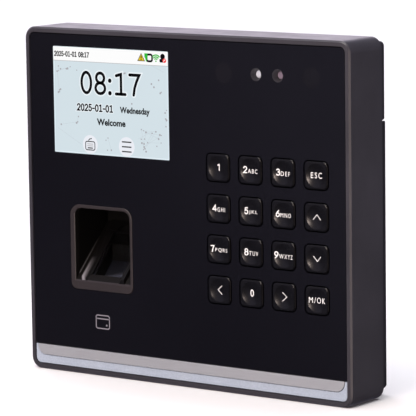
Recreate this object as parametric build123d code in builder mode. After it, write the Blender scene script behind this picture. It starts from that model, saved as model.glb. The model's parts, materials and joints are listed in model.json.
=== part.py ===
from build123d import *

import os

# Wall-mounted fingerprint terminal: time clock with screen, keypad, cameras and card reader.
# Millimetres. The wall is the plane y = 0, the terminal stands out of it towards -Y, +Z is up
# and +X is to the right of a person facing the screen. The origin is the centre of the four
# wall screws. Every height below is measured out from the wall.

# ---- driving dimensions ----
WIDTH = 167.5
HEIGHT = 148.8
DEPTH = 32.2
CORNER_R = 5.0
REAR_STEP = 8.8         # height of the housing's back edge
SIDE_WALL = 2.2
RIM_WIDTH = 2.25
RIM_LIP = 0.4           # the rim stands this far above the glossy panel
RIM_CHAMFER = 0.7
RECESS_R = 2.6
PANEL_T = 2.2
ADHESIVE_T = 0.2
SHELF_T = 2.0

PANEL_TOP = DEPTH - RIM_LIP
PANEL_BACK = PANEL_TOP - PANEL_T
SHELF_TOP = PANEL_BACK - ADHESIVE_T
SHELF_BACK = SHELF_TOP - SHELF_T
RECESS_W = WIDTH - 2 * RIM_WIDTH
RECESS_H = HEIGHT - 2 * RIM_WIDTH
RECESS_BOTTOM = -RECESS_H / 2
INSIDE_W = WIDTH - 2 * SIDE_WALL
INSIDE_H = HEIGHT - 2 * SIDE_WALL

# front panel
PANEL_W = RECESS_W - 0.7
PANEL_Z_TOP = RECESS_H / 2 - 0.35
PANEL_Z_LOW = -63.4
PANEL_R = 2.3

# screen
SCREEN_W = 61.4
SCREEN_H = 45.4
SCREEN_AT = (-37.8, 43.75)
SCREEN_R = 0.4
LCD_W = 69.6
LCD_H = 50.6
LCD_TOP = SHELF_BACK - 0.2
LCD_T = 3.0
LCD_SKIN = 0.4
RIBBON_X = (-46.8, -28.8)
RIBBON_SLOT_Z = (16.5, 20.0)
RIBBON_SLOT_DEPTH = 1.2
RIBBON_T = 0.3
FENCE_GAP = 0.2
FENCE_T = 1.2
LCD_LAYERS = LCD_TOP - 1.7     # the liquid crystal cell lies above, the backlight below

# cameras and infra-red lamps
CAMERA_X = (37.6, 48.4)
CAMERA_Z = 59.0
CAMERA_HOLE_R = 2.75
CAMERA_CONE_R = 2.55
CAMERA_LENS_R = 1.6
CAMERA_DEPTH = 2.1
CAMERA_STEM_BACK = 26.4
CAMERA_PLATE = (24.0, 8.0)
CAMERA_PLATE_BACK = 24.6
CAMERA_BOARD = (34.0, 12.0)
CAMERA_BOARD_FRONT = 24.0
CAMERA_WINDOW = (26.0, 10.0)
LAMP_X = (21.3, 64.75)
LAMP_R = 4.35
LED_BOARD = (12.0, 12.0)
LED_BOARD_FRONT = 26.3
LED_SIZE = 2.8
LED_PITCH = 3.8
LED_H = 0.9

# keypad
KEY_NAMES = (
    ("key_1", "key_2", "key_3", "key_esc"),
    ("key_4", "key_5", "key_6", "key_up"),
    ("key_7", "key_8", "key_9", "key_down"),
    ("key_left", "key_0", "key_right", "key_ok"),
)
KEY_PITCH_X = 16.29
KEY_PITCH_Z = 17.02
KEYPAD_AT = (42.47, -5.97)
KEY_HOLE = (12.5, 12.3)
KEY_HOLE_R = 2.6
KEY_GAP = 0.42
KEY_PROUD = 0.35
KEY_EDGE_R = 0.75
KEY_DISH_R = 16.0       # radius of the hollow on top of each key
KEY_DISH_DEPTH = 0.75
KEY_DISH_EDGE_R = 0.9
KEY_FLANGE_GROW = 1.0   # flange that keeps the key behind the panel
KEY_FLANGE_T = 1.0
KEY_FLANGE_DROP = 0.3
KEY_BAY_GROW = 1.9
KEY_BOARD_TOP = 25.2
KEY_BOARD_T = 1.2
MAT_T = 0.8
DOME_H = 0.6
DOME_R = 4.0

# finger reader
BEZEL_AT = (-44.1, -19.25)
BEZEL_W = 33.4
BEZEL_H = 36.7
BEZEL_TOP_R = 5.0
BEZEL_LOW_R = 3.0
BEZEL_PROUD = 0.25
BEZEL_EDGE_R = 0.35
MOUTH_TOP_R = 3.4
MOUTH_CHAMFER = 0.3
WELL_X = (-58.3, -28.8)
READER_X = -43.7       # centre line of the deck, its rails and the glass
WELL_TOP = -2.4
WELL_BACK_DEPTH = 23.1  # below the rim's face
DECK_FOOT_Z = -34.0     # where the 45 degree deck would meet the rim's face
WELL_WALL = 1.2
GLASS_W = 15.8
GLASS_LOW = 4.0         # distances up the deck's slope
GLASS_HIGH = 27.2
GLASS_T = 1.2
GLASS_DROP = 1.0
FRAME_HALF_W = 12.2
FRAME_LOW = 4.3
FRAME_HIGH = 31.0
FRAME_T = 2.4
DECK_SLOT_DEPTH = 4.0
RAIL_IN = 8.6
RAIL_OUT = 11.8
RAIL_H = 1.4
RAIL_LOW = 0.6
RAIL_BEVEL_IN = 1.4
RAIL_BEVEL_OUT = 0.5
STOP_HIGH = 32.4
ARCH_HALF_W = 5.5
ARCH_RISE = 4.6
ARCH_H = 1.4
SENSOR_BLOCK_HALF_W = 12.0
SENSOR_BLOCK_FRONT = 29.2
SENSOR_BLOCK_BACK = 10.0
SENSOR_BLOCK_LOW = -37.4
CHAMBER_HALF_W = 7.5
CHAMBER_FRONT = 27.6
CHAMBER_BACK = 14.9
CHAMBER_CORNER_Z = -28.5
CHAMBER_FLOOR_Z = -34.4
DIFFUSER_T = 1.1
SENSOR_BOARD = (30.0, 20.0)
SENSOR_BOARD_Z = -27.0
SMALL_BOARD_T = 1.2

# card reader, trim strip and light bar
CARD_AT = (-43.6, -53.0)
CARD_BOARD = (44.0, 19.0)
CARD_BOARD_HOLE = (28.0, 7.0)
STRIP_HALF_W = 79.9
STRIP_TOP = -63.6
STRIP_LOW = -68.1
STRIP_END_R = 3.9
STRIP_TOP_R = 0.4
STRIP_T = 1.5
GROOVE = 0.25
LIGHT_TOP = PANEL_TOP - 0.05
LIGHT_SLOT = (150.0, 3.4)
LIGHT_SLOT_Z = -69.8
LIGHT_BOARD_HALF_W = 74.0
LIGHT_BOARD_Z = (-71.4, -68.4)
LIGHT_BOARD_T = 0.8
LIGHT_LAMP = (2.8, 1.6)
LIGHT_LAMP_H = 0.6
LIGHT_LAMP_PITCH = 12.0

# rear cover and wall plate
PLATE_T = 1.5
PLATE_HALF_W = 79.45
PLATE_LOW = -71.8
PLATE_HIGH = 39.3
PLATE_FLANGE_H = REAR_STEP - 0.4
PLATE_R = 2.0
PLATE_TOP_R = 0.4
COVER_T = 2.0
UPPER_HALF_W = 79.5
UPPER_Z = (39.7, 71.9)
UPPER_BACK = 0.3
UPPER_EDGE_R = 0.5
UPPER_LOW_R = 1.0
LOWER_HALF_W = PLATE_HALF_W - PLATE_T - 0.35
LOWER_Z_LOW = PLATE_LOW + PLATE_T + 0.6
LOWER_BACK = 4.6
SCREW_PATTERN = (120.0, 60.0)
SCREW_HOLE_R = 2.25
CABLE_WINDOW = (66.0, 30.0)
CABLE_WINDOW_AT = (19.0, -9.0)
RECESS_WINDOW = (75.0, 39.0)
RECESS_WINDOW_AT = (24.5, -12.5)
HOOK_X = 68.0
HOOK_Z = (24.0, -46.0)
HOOK_W = 6.0
HOOK_LIP = 5.0
LIFT = 7.0              # the terminal lifts this far to come off its hooks
HOOK_TOP = 8.4
SECURITY_SCREW_H = 6.2  # height of the bottom screw's axis
SECURITY_SCREW_R = 1.25
SECURITY_HEAD_R = 2.1
SECURITY_HEAD_H = 1.6

# boards and connectors
BOARD_BACK = 16.6
BOARD_T = 1.6
BOARD_FRONT = BOARD_BACK + BOARD_T
FIT = 0.05              # clearance between parts that all but touch
CASE_POST_BACK = 13.2
CASE_POST_R = 3.2
CASE_PILOT_R = 1.25
CASE_PILOT_HIGH = 22.0
CASE_TUBE_R = 4.2
CASE_TUBE_HIGH = 13.0
CASE_SCREW_SEAT = 10.0
CASE_HEAD_R = 2.75
BOARD_POST_R = 3.0
BOARD_PILOT_R = 1.05
BOARD_PILOT_HIGH = 25.0
KEYPAD_POST_R = 2.2
KEYPAD_PILOT_R = 0.85
CASE_SCREWS_AT = ((-70.5, 6.0), (70.5, 35.0), (-70.5, -59.5), (70.5, -59.5), (3.5, 66.0))
CONNECTOR_FACE_Z = -10.0
JACK_HALF_W = 8.0
JACK_LENGTH = 16.0
JACK_H = 13.2
USB_HALF_W = 7.2
USB_LENGTH = 14.0
USB_H = 7.4
USB_X = 17.0
TERMINAL_PITCH = 5.08
TERMINAL_H = 9.0
BATTERY_AT = (-40.0, 40.0)
BATTERY_R = 10.0
BATTERY_H = 3.2
SPEAKER_AT = (-50.0, -55.0)
SPEAKER = (28.0, 18.0)
SPEAKER_MOUTH = (24.0, 13.0)
SPEAKER_H = 6.0
GRILLE_PITCH = 3.4
GRILLE_HOLE_R = 0.9
TAMPER_AT = (40.0, 24.0)
TAMPER_R = 1.5
TAMPER_SWITCH = 8.0
TAMPER_SWITCH_H = 5.6
TAMPER_TRAVEL = 1.2


def level(height):
    """Plane parallel to the wall at a height above it, seen from the front."""
    return Plane.XZ.offset(height)


def slab(size, radius, low, high, center=(0, 0), mode=Mode.ADD):
    """Rounded rectangle between two heights above the wall."""
    with BuildSketch(level(low)) as outline:
        with Locations(center):
            RectangleRounded(size[0], size[1], radius)
    extrude(outline.sketch, amount=high - low, mode=mode)


def box_between(x, z, low, high, mode=Mode.ADD):
    """Square-cornered block given by its x and z limits and two heights."""
    with BuildSketch(level(low)) as outline:
        with Locations(((x[0] + x[1]) / 2, (z[0] + z[1]) / 2)):
            Rectangle(x[1] - x[0], z[1] - z[0])
    extrude(outline.sketch, amount=high - low, mode=mode)


def posts(places, radius, low, high, mode=Mode.ADD):
    """Round posts or holes, square to the wall, at several places."""
    with BuildSketch(level(low)) as outline:
        with Locations(*places):
            Circle(radius)
    extrude(outline.sketch, amount=high - low, mode=mode)


def side_section(x_low, x_high, points, mode=Mode.ADD):
    """Prism along X whose outline is given as (height, z) points."""
    with BuildSketch(Plane.YZ.offset(x_low)) as outline:
        Polygon(*[(-height, z) for height, z in points], align=None)
    extrude(outline.sketch, amount=x_high - x_low, mode=mode)


def on_deck(lift):
    """Plane on the reader's sloping deck: X across, Y up the slope, raised by lift."""
    origin = (READER_X, -DEPTH, DECK_FOOT_Z)
    return Plane(origin=origin, x_dir=(1, 0, 0), z_dir=(0, -1, 1)).offset(lift)


def across_deck(distance):
    """Plane square to the deck's slope, a distance up it: X across, Y out of the deck."""
    reach = distance / 2**0.5
    origin = (READER_X, -DEPTH + reach, DECK_FOOT_Z + reach)
    return Plane(origin=origin, x_dir=(1, 0, 0), z_dir=(0, -1, -1))


def save(piece, name):
    """Label a finished piece and write it as its own file."""
    piece.part.label = name
    export_step(piece.part, f"parts/{name}.step")


def key_places():
    """Centre of every key, row by row from the top."""
    for row, names in enumerate(KEY_NAMES):
        for column, name in enumerate(names):
            x = KEYPAD_AT[0] + (column - 1.5) * KEY_PITCH_X
            z = KEYPAD_AT[1] + (1.5 - row) * KEY_PITCH_Z
            yield name, (x, z)


os.makedirs("parts", exist_ok=True)

keys = dict(key_places())
key_centers = list(keys.values())
key_hole_grown = (KEY_HOLE[0] + KEY_BAY_GROW, KEY_HOLE[1] + KEY_BAY_GROW)
keypad_posts = [
    (KEYPAD_AT[0] + i * KEY_PITCH_X, KEYPAD_AT[1] + j * KEY_PITCH_Z) for i in (-1, 1) for j in (-1, 1)
]
camera_centers = [(x, CAMERA_Z) for x in CAMERA_X]
cameras_mid = (sum(CAMERA_X) / 2, CAMERA_Z)
lamp_centers = [(x, CAMERA_Z) for x in LAMP_X]
keypad_span = (3 * KEY_PITCH_X + KEY_HOLE[0], 3 * KEY_PITCH_Z + KEY_HOLE[1])
board_posts = [(3.5, 54.0), (62.0, 43.0), (3.5, -50.0), (62.0, -50.0)]
well_mid = (WELL_X[0] + WELL_X[1]) / 2
well_width = WELL_X[1] - WELL_X[0]
well_back = DEPTH - WELL_BACK_DEPTH
bezel_top = PANEL_TOP + BEZEL_PROUD
lcd_back = LCD_TOP - LCD_T
strip_back = PANEL_TOP - STRIP_T + RIM_LIP


# ---- housing and front ----

with BuildPart() as front_housing:
    slab((WIDTH, HEIGHT), CORNER_R, REAR_STEP, DEPTH)
    chamfer(front_housing.faces().sort_by(Axis.Y)[0].edges(), RIM_CHAMFER)
    slab((RECESS_W, RECESS_H), RECESS_R, SHELF_TOP, DEPTH, mode=Mode.SUBTRACT)
    slab((INSIDE_W, INSIDE_H), CORNER_R - SIDE_WALL, REAR_STEP, SHELF_BACK, mode=Mode.SUBTRACT)
    # fence that locates the display and posts for the cover, the boards and the keypad
    fence = (LCD_W + 2 * FENCE_GAP, LCD_H + 2 * FENCE_GAP)
    fence_outer = (fence[0] + 2 * FENCE_T, fence[1] + 2 * FENCE_T)
    slab(fence_outer, FENCE_T, lcd_back, SHELF_BACK, SCREEN_AT)
    slab(fence, SCREEN_R, lcd_back, SHELF_BACK, SCREEN_AT, mode=Mode.SUBTRACT)
    box_between(RIBBON_X, RIBBON_SLOT_Z, lcd_back, lcd_back + RIBBON_SLOT_DEPTH, mode=Mode.SUBTRACT)
    posts(CASE_SCREWS_AT, CASE_POST_R, CASE_POST_BACK, SHELF_BACK)
    posts(CASE_SCREWS_AT, CASE_PILOT_R, CASE_POST_BACK, CASE_PILOT_HIGH, mode=Mode.SUBTRACT)
    posts(board_posts, BOARD_POST_R, BOARD_FRONT + FIT, SHELF_BACK)
    posts(board_posts, BOARD_PILOT_R, BOARD_FRONT + FIT, BOARD_PILOT_HIGH, mode=Mode.SUBTRACT)
    posts(keypad_posts, KEYPAD_POST_R, KEY_BOARD_TOP + FIT, SHELF_BACK)
    posts(keypad_posts, KEYPAD_PILOT_R, KEY_BOARD_TOP + FIT, SHELF_TOP - 0.8, mode=Mode.SUBTRACT)
    # openings in the shelf behind the panel
    slab((SCREEN_W + 1.6, SCREEN_H + 1.6), 0.8, SHELF_BACK, SHELF_TOP, SCREEN_AT, mode=Mode.SUBTRACT)
    slab(CAMERA_WINDOW, 2.0, SHELF_BACK, SHELF_TOP, cameras_mid, mode=Mode.SUBTRACT)
    posts(lamp_centers, LAMP_R + 0.4, SHELF_BACK, SHELF_TOP, mode=Mode.SUBTRACT)
    slab((BEZEL_W + 0.4, BEZEL_H + 0.4), WELL_WALL, SHELF_BACK, SHELF_TOP, BEZEL_AT, mode=Mode.SUBTRACT)
    for center in key_centers:
        slab(key_hole_grown, KEY_HOLE_R, SHELF_BACK, SHELF_TOP, center, mode=Mode.SUBTRACT)
    slab(LIGHT_SLOT, 1.0, SHELF_BACK, SHELF_TOP, (0, LIGHT_SLOT_Z), mode=Mode.SUBTRACT)
save(front_housing, "front_housing")


def panel_holes(low, high, grow):
    """Cuts shared by the panel and the tape behind it."""
    screen_cut = (SCREEN_W + grow, SCREEN_H + grow)
    bezel_cut = (BEZEL_W + grow, BEZEL_H + grow)
    slab(screen_cut, SCREEN_R + grow / 2, low, high, SCREEN_AT, mode=Mode.SUBTRACT)
    slab(bezel_cut, BEZEL_LOW_R, low, high, BEZEL_AT, mode=Mode.SUBTRACT)
    posts(camera_centers, CAMERA_HOLE_R + grow / 2, low, high, mode=Mode.SUBTRACT)
    posts(lamp_centers, LAMP_R + grow / 2, low, high, mode=Mode.SUBTRACT)


def panel_outline(low, high, inset):
    """Panel shape: rounded upper corners and a straight lower edge beside the trim strip."""
    half = PANEL_W / 2 - inset
    with BuildSketch(level(low)) as outline:
        with BuildLine():
            Polyline(
                (-half, PANEL_Z_LOW + inset),
                (half, PANEL_Z_LOW + inset),
                (half, PANEL_Z_TOP - inset),
                (-half, PANEL_Z_TOP - inset),
                close=True,
            )
        make_face()
        fillet(outline.vertices().group_by(Axis.Y)[-1], PANEL_R)
    extrude(outline.sketch, amount=high - low)


with BuildPart() as front_panel:
    panel_outline(PANEL_BACK, PANEL_TOP, 0)
    chamfer(front_panel.faces().sort_by(Axis.Y)[0].edges(), 0.15)
    window_cut = (SCREEN_W + 2 * FIT, SCREEN_H + 2 * FIT)
    slab(window_cut, SCREEN_R, PANEL_BACK, PANEL_TOP, SCREEN_AT, mode=Mode.SUBTRACT)
    posts(camera_centers, CAMERA_HOLE_R, PANEL_BACK, PANEL_TOP, mode=Mode.SUBTRACT)
    posts(lamp_centers, LAMP_R + 0.03, PANEL_BACK, PANEL_TOP, mode=Mode.SUBTRACT)
    # opening for the finger bezel, with larger radii at the top
    with BuildSketch(level(PANEL_BACK)) as bezel_hole:
        with Locations(BEZEL_AT):
            Rectangle(BEZEL_W + 0.3, BEZEL_H + 0.3)
        fillet(bezel_hole.vertices().group_by(Axis.Y)[-1], BEZEL_TOP_R)
        fillet(bezel_hole.vertices().group_by(Axis.Y)[0], BEZEL_LOW_R)
    extrude(bezel_hole.sketch, amount=PANEL_T, mode=Mode.SUBTRACT)
    for center in key_centers:
        slab(KEY_HOLE, KEY_HOLE_R, PANEL_BACK, PANEL_TOP, center, mode=Mode.SUBTRACT)
save(front_panel, "front_panel")

with BuildPart() as panel_adhesive:
    panel_outline(SHELF_TOP, PANEL_BACK, 1.0)
    panel_holes(SHELF_TOP, PANEL_BACK, 1.6)
    keypad_cut = (keypad_span[0] + KEY_BAY_GROW + 0.4, keypad_span[1] + KEY_BAY_GROW + 0.4)
    slab(keypad_cut, 3.0, SHELF_TOP, PANEL_BACK, KEYPAD_AT, mode=Mode.SUBTRACT)
save(panel_adhesive, "panel_adhesive")

with BuildPart() as trim_strip:
    with BuildSketch(level(strip_back)) as strip_outline:
        with Locations((0, (STRIP_TOP + STRIP_LOW) / 2)):
            Rectangle(2 * STRIP_HALF_W, STRIP_TOP - STRIP_LOW)
        fillet(strip_outline.vertices().group_by(Axis.Y)[0], STRIP_END_R)
        fillet(strip_outline.vertices().group_by(Axis.Y)[-1], STRIP_TOP_R)
    extrude(amount=STRIP_T)
    chamfer(trim_strip.faces().sort_by(Axis.Y)[0].edges(), 0.2)
save(trim_strip, "trim_strip")

with BuildPart() as light_bar:
    light_half = RECESS_W / 2 - 0.2
    light_low = RECESS_BOTTOM + 0.2
    with BuildSketch(level(SHELF_TOP)) as light_outline:
        with Locations((0, (PANEL_Z_LOW - GROOVE + light_low) / 2)):
            Rectangle(2 * light_half, PANEL_Z_LOW - GROOVE - light_low)
        fillet(light_outline.vertices().group_by(Axis.Y)[0], RECESS_R - 0.2)
    extrude(amount=LIGHT_TOP - SHELF_TOP)
    light_front = light_bar.faces().sort_by(Axis.Y)[0]
    fillet(light_front.edges().group_by(Axis.Z)[0], 0.3)
    # pocket for the trim strip
    with BuildSketch(level(strip_back - FIT)) as pocket:
        with Locations((0, (STRIP_TOP + 1.0 + STRIP_LOW - GROOVE) / 2)):
            Rectangle(2 * (STRIP_HALF_W + GROOVE), STRIP_TOP + 1.0 - STRIP_LOW + GROOVE)
        fillet(pocket.vertices().group_by(Axis.Y)[0], STRIP_END_R + GROOVE)
    extrude(amount=STRIP_T, mode=Mode.SUBTRACT)
save(light_bar, "light_bar")

with BuildPart() as light_board:
    light_board_front = SHELF_BACK + 0.3 + LIGHT_BOARD_T
    board_x = (-LIGHT_BOARD_HALF_W, LIGHT_BOARD_HALF_W)
    box_between(board_x, LIGHT_BOARD_Z, light_board_front - LIGHT_BOARD_T, light_board_front)
    with BuildSketch(level(light_board_front)) as lamp_chips:
        with Locations((0, sum(LIGHT_BOARD_Z) / 2)):
            with GridLocations(LIGHT_LAMP_PITCH, 1, 13, 1):
                Rectangle(*LIGHT_LAMP)
    extrude(lamp_chips.sketch, amount=LIGHT_LAMP_H)
save(light_board, "light_board")


# ---- screen ----

with BuildPart() as display_window:
    slab((SCREEN_W, SCREEN_H), SCREEN_R, LCD_TOP + 0.3, PANEL_TOP, SCREEN_AT)
save(display_window, "display_window")

with BuildPart() as lcd_frame:
    slab((LCD_W, LCD_H), 0.8, lcd_back, LCD_TOP, SCREEN_AT)
    inner = (LCD_W - 2 * LCD_SKIN, LCD_H - 2 * LCD_SKIN)
    slab(inner, 0.5, lcd_back + LCD_SKIN, LCD_TOP - LCD_SKIN, SCREEN_AT, mode=Mode.SUBTRACT)
    window = (SCREEN_W + 1.0, SCREEN_H + 1.0)
    slab(window, 0.5, LCD_TOP - LCD_SKIN, LCD_TOP, SCREEN_AT, mode=Mode.SUBTRACT)
    box_between(RIBBON_X, RIBBON_SLOT_Z, lcd_back, lcd_back + RIBBON_SLOT_DEPTH, mode=Mode.SUBTRACT)
save(lcd_frame, "lcd_frame")

with BuildPart() as lcd_glass:
    slab((LCD_W - 1.4, LCD_H - 1.4), 0.3, LCD_LAYERS, LCD_TOP - LCD_SKIN - FIT, SCREEN_AT)
save(lcd_glass, "lcd_glass")

with BuildPart() as lcd_backlight:
    light_mid = (SCREEN_AT[0], SCREEN_AT[1] + 1.0)      # its lower edge leaves room for the cable
    slab((LCD_W - 1.6, LCD_H - 3.4), 0.3, lcd_back + LCD_SKIN + FIT, LCD_LAYERS - FIT, light_mid)
save(lcd_backlight, "lcd_backlight")

with BuildPart() as lcd_ribbon:
    # flat flexible cable from the display's lower edge back to the main board
    ribbon_top = LCD_TOP - 2.1
    ribbon_low = BOARD_FRONT + 0.2
    side_section(
        SCREEN_AT[0] - 8.0,
        SCREEN_AT[0] + 8.0,
        (
            (ribbon_top, 19.6),
            (ribbon_top, 16.0),
            (ribbon_low + RIBBON_T, 12.0),
            (ribbon_low + RIBBON_T, 8.0),
            (ribbon_low, 8.0),
            (ribbon_low, 12.2),
            (ribbon_top - RIBBON_T, 16.2),
            (ribbon_top - RIBBON_T, 19.6),
        ),
    )
save(lcd_ribbon, "lcd_ribbon")


# ---- cameras and infra-red lamps ----

camera_front = PANEL_TOP - 0.1
cone_floor = camera_front - CAMERA_DEPTH

with BuildPart() as camera_holder:
    posts(camera_centers, CAMERA_HOLE_R - 0.08, CAMERA_STEM_BACK, camera_front)
    slab(CAMERA_PLATE, 1.5, CAMERA_PLATE_BACK, SHELF_TOP - 0.6, cameras_mid)
    with BuildSketch(level(cone_floor)) as cone_small:
        with Locations(*camera_centers):
            Circle(CAMERA_LENS_R + 0.1)
    with BuildSketch(level(camera_front)) as cone_large:
        with Locations(*camera_centers):
            Circle(CAMERA_CONE_R)
    for small, large in zip(cone_small.sketch.faces(), cone_large.sketch.faces()):
        loft([small, large], mode=Mode.SUBTRACT)
    lens_bore_high = cone_floor + FIT
    posts(camera_centers, CAMERA_LENS_R + 0.1, CAMERA_PLATE_BACK, lens_bore_high, mode=Mode.SUBTRACT)
save(camera_holder, "camera_holder")

for lens_name, lens_x in zip(("camera_lens_left", "camera_lens_right"), CAMERA_X):
    with BuildPart() as camera_lens:
        posts([(lens_x, CAMERA_Z)], CAMERA_LENS_R, CAMERA_BOARD_FRONT + 0.2, cone_floor)
        fillet(camera_lens.faces().sort_by(Axis.Y)[0].edges(), 0.4)
    save(camera_lens, lens_name)

with BuildPart() as camera_board:
    slab(CAMERA_BOARD, 1.0, CAMERA_BOARD_FRONT - SMALL_BOARD_T, CAMERA_BOARD_FRONT, cameras_mid)
save(camera_board, "camera_board")

with BuildPart() as ir_windows:
    posts(lamp_centers, LAMP_R, PANEL_BACK, PANEL_TOP - 0.03)
save(ir_windows, "ir_windows")

with BuildPart() as ir_leds:
    with BuildSketch(level(LED_BOARD_FRONT)):
        with Locations(*lamp_centers):
            with GridLocations(LED_PITCH, LED_PITCH, 2, 2):
                Rectangle(LED_SIZE, LED_SIZE)
    extrude(amount=LED_H)
save(ir_leds, "ir_leds")

with BuildPart() as ir_board:
    for center in lamp_centers:
        slab(LED_BOARD, 1.0, LED_BOARD_FRONT - SMALL_BOARD_T, LED_BOARD_FRONT, center)
save(ir_board, "ir_board")


# ---- keypad ----

cap_size = (KEY_HOLE[0] - 2 * KEY_GAP, KEY_HOLE[1] - 2 * KEY_GAP)
flange_size = (KEY_HOLE[0] + KEY_FLANGE_GROW, KEY_HOLE[1] + KEY_FLANGE_GROW)
key_crest = PANEL_TOP + KEY_PROUD
flange_top = PANEL_BACK - KEY_FLANGE_DROP
flange_low = flange_top - KEY_FLANGE_T

for key_name, center in keys.items():
    with BuildPart() as key:
        slab(cap_size, KEY_HOLE_R - KEY_GAP, flange_top, key_crest, center)
        fillet(key.faces().sort_by(Axis.Y)[0].edges(), KEY_EDGE_R)
        # finger hollow, then its edge softened
        with Locations((center[0], -(key_crest - KEY_DISH_DEPTH + KEY_DISH_R), center[1])):
            Sphere(KEY_DISH_R, mode=Mode.SUBTRACT)
        hollow_edges = key.edges().filter_by(GeomType.CIRCLE).filter_by(lambda e: e.radius > 4.0)
        fillet(hollow_edges, KEY_DISH_EDGE_R)
        slab(flange_size, KEY_HOLE_R, flange_low, flange_top, center)
    save(key, key_name)

pad_size = (keypad_span[0] + 3.1, keypad_span[1] + 3.1)
board_low = KEY_BOARD_TOP - KEY_BOARD_T
dome_low = KEY_BOARD_TOP + MAT_T

with BuildPart() as keypad_mat:
    slab(pad_size, 2.0, KEY_BOARD_TOP + 0.02, dome_low, KEYPAD_AT)
    posts(keypad_posts, KEYPAD_POST_R + 0.3, KEY_BOARD_TOP, dome_low, mode=Mode.SUBTRACT)
    posts(key_centers, DOME_R, dome_low, dome_low + DOME_H)
save(keypad_mat, "keypad_mat")

with BuildPart() as keypad_board:
    slab(pad_size, 1.0, board_low, KEY_BOARD_TOP, KEYPAD_AT)
    posts(keypad_posts, 1.1, board_low, KEY_BOARD_TOP, mode=Mode.SUBTRACT)
save(keypad_board, "keypad_board")


# ---- finger reader ----

deck_lift = DECK_FOOT_Z + DEPTH     # the deck is the plane z = deck_lift - height


def deck_z(height, drop=0.0):
    """Z of the sloping deck at a height, or of a surface drop below it, measured square to it."""
    return deck_lift - height - drop * 2**0.5


with BuildPart() as finger_bezel:
    with BuildSketch(level(SHELF_TOP)) as ring:
        with Locations(BEZEL_AT):
            Rectangle(BEZEL_W, BEZEL_H)
        fillet(ring.vertices().group_by(Axis.Y)[-1], BEZEL_TOP_R)
        fillet(ring.vertices().group_by(Axis.Y)[0], BEZEL_LOW_R)
    extrude(amount=bezel_top - SHELF_TOP)
    fillet(finger_bezel.faces().sort_by(Axis.Y)[0].edges(), BEZEL_EDGE_R)
    # mouth of the well; its lower side slopes in along the deck as a ledge
    with BuildSketch(level(SHELF_TOP)) as mouth:
        with Locations((well_mid, (WELL_TOP + deck_z(SHELF_TOP)) / 2)):
            Rectangle(well_width, WELL_TOP - deck_z(SHELF_TOP))
        fillet(mouth.vertices().group_by(Axis.Y)[-1], MOUTH_TOP_R)
    extrude(mouth.sketch, amount=DEPTH - SHELF_TOP, mode=Mode.SUBTRACT)
    side_section(
        WELL_X[0],
        WELL_X[1],
        (
            (SHELF_TOP, deck_z(SHELF_TOP)),
            (SHELF_TOP, deck_z(SHELF_TOP) + 6.0),
            (DEPTH, deck_z(SHELF_TOP) + 6.0),
            (DEPTH, deck_z(DEPTH)),
        ),
        mode=Mode.SUBTRACT,
    )
    chamfer(finger_bezel.faces().sort_by(Axis.Y)[0].inner_wires().edges(), MOUTH_CHAMFER)
save(finger_bezel, "finger_bezel")

with BuildPart() as finger_well:
    well_front = SHELF_TOP - FIT
    outer_back = well_back - WELL_WALL
    side_section(
        WELL_X[0] - WELL_WALL,
        WELL_X[1] + WELL_WALL,
        (
            (well_front, deck_z(well_front, WELL_WALL)),
            (outer_back, deck_z(outer_back, WELL_WALL)),
            (outer_back, WELL_TOP + WELL_WALL),
            (well_front, WELL_TOP + WELL_WALL),
        ),
    )
    side_section(
        WELL_X[0],
        WELL_X[1],
        (
            (SHELF_TOP, deck_z(SHELF_TOP)),
            (well_back, deck_z(well_back)),
            (well_back, WELL_TOP),
            (SHELF_TOP, WELL_TOP),
        ),
        mode=Mode.SUBTRACT,
    )
    # slot in the deck for the sensor frame, open towards the bezel
    with BuildSketch(on_deck(-DECK_SLOT_DEPTH)) as deck_slot:
        with Locations((0, FRAME_HIGH / 2)):
            Rectangle(2 * (FRAME_HALF_W + FIT), FRAME_HIGH + 2 * FIT)
    extrude(deck_slot.sketch, amount=DECK_SLOT_DEPTH + 0.5, mode=Mode.SUBTRACT)
save(finger_well, "finger_well")

with BuildPart() as sensor_frame:
    # U-shaped base that fills the slot on both sides of the glass and above it
    with BuildSketch(on_deck(-FRAME_T)):
        with Locations((0, (FRAME_LOW + FRAME_HIGH) / 2)):
            Rectangle(2 * FRAME_HALF_W, FRAME_HIGH - FRAME_LOW)
    extrude(amount=FRAME_T)
    # rails beside the glass, with bevelled crests
    with BuildSketch(across_deck(GLASS_HIGH)) as rails:
        for side in (-1, 1):
            Polygon(
                (side * RAIL_IN, 0),
                (side * RAIL_OUT, 0),
                (side * (RAIL_OUT - RAIL_BEVEL_OUT), RAIL_H),
                (side * (RAIL_IN + RAIL_BEVEL_IN), RAIL_H),
                align=None,
            )
    extrude(amount=GLASS_HIGH - RAIL_LOW)
    # finger-tip stop: a raised block with an arched cut-out above the glass
    with BuildSketch(on_deck(0)):
        with Locations((0, (GLASS_HIGH + STOP_HIGH) / 2)):
            Rectangle(2 * RAIL_OUT, STOP_HIGH - GLASS_HIGH)
        with Locations((0, GLASS_HIGH)):
            Ellipse(ARCH_HALF_W, ARCH_RISE, mode=Mode.SUBTRACT)
    extrude(amount=ARCH_H)
    with BuildSketch(on_deck(-FRAME_T)) as glass_window:
        with Locations((0, (FRAME_LOW - 1 + GLASS_HIGH) / 2)):
            Rectangle(GLASS_W + 2 * FIT, GLASS_HIGH - FRAME_LOW + 1)
    extrude(glass_window.sketch, amount=FRAME_T + 0.1, mode=Mode.SUBTRACT)
    # the rails end flush with the bezel's face
    box_between(
        (READER_X - 15, READER_X + 15),
        (DECK_FOOT_Z - 4, DECK_FOOT_Z + 8),
        bezel_top - 0.15,
        DEPTH + 3,
        mode=Mode.SUBTRACT,
    )
save(sensor_frame, "sensor_frame")

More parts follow.
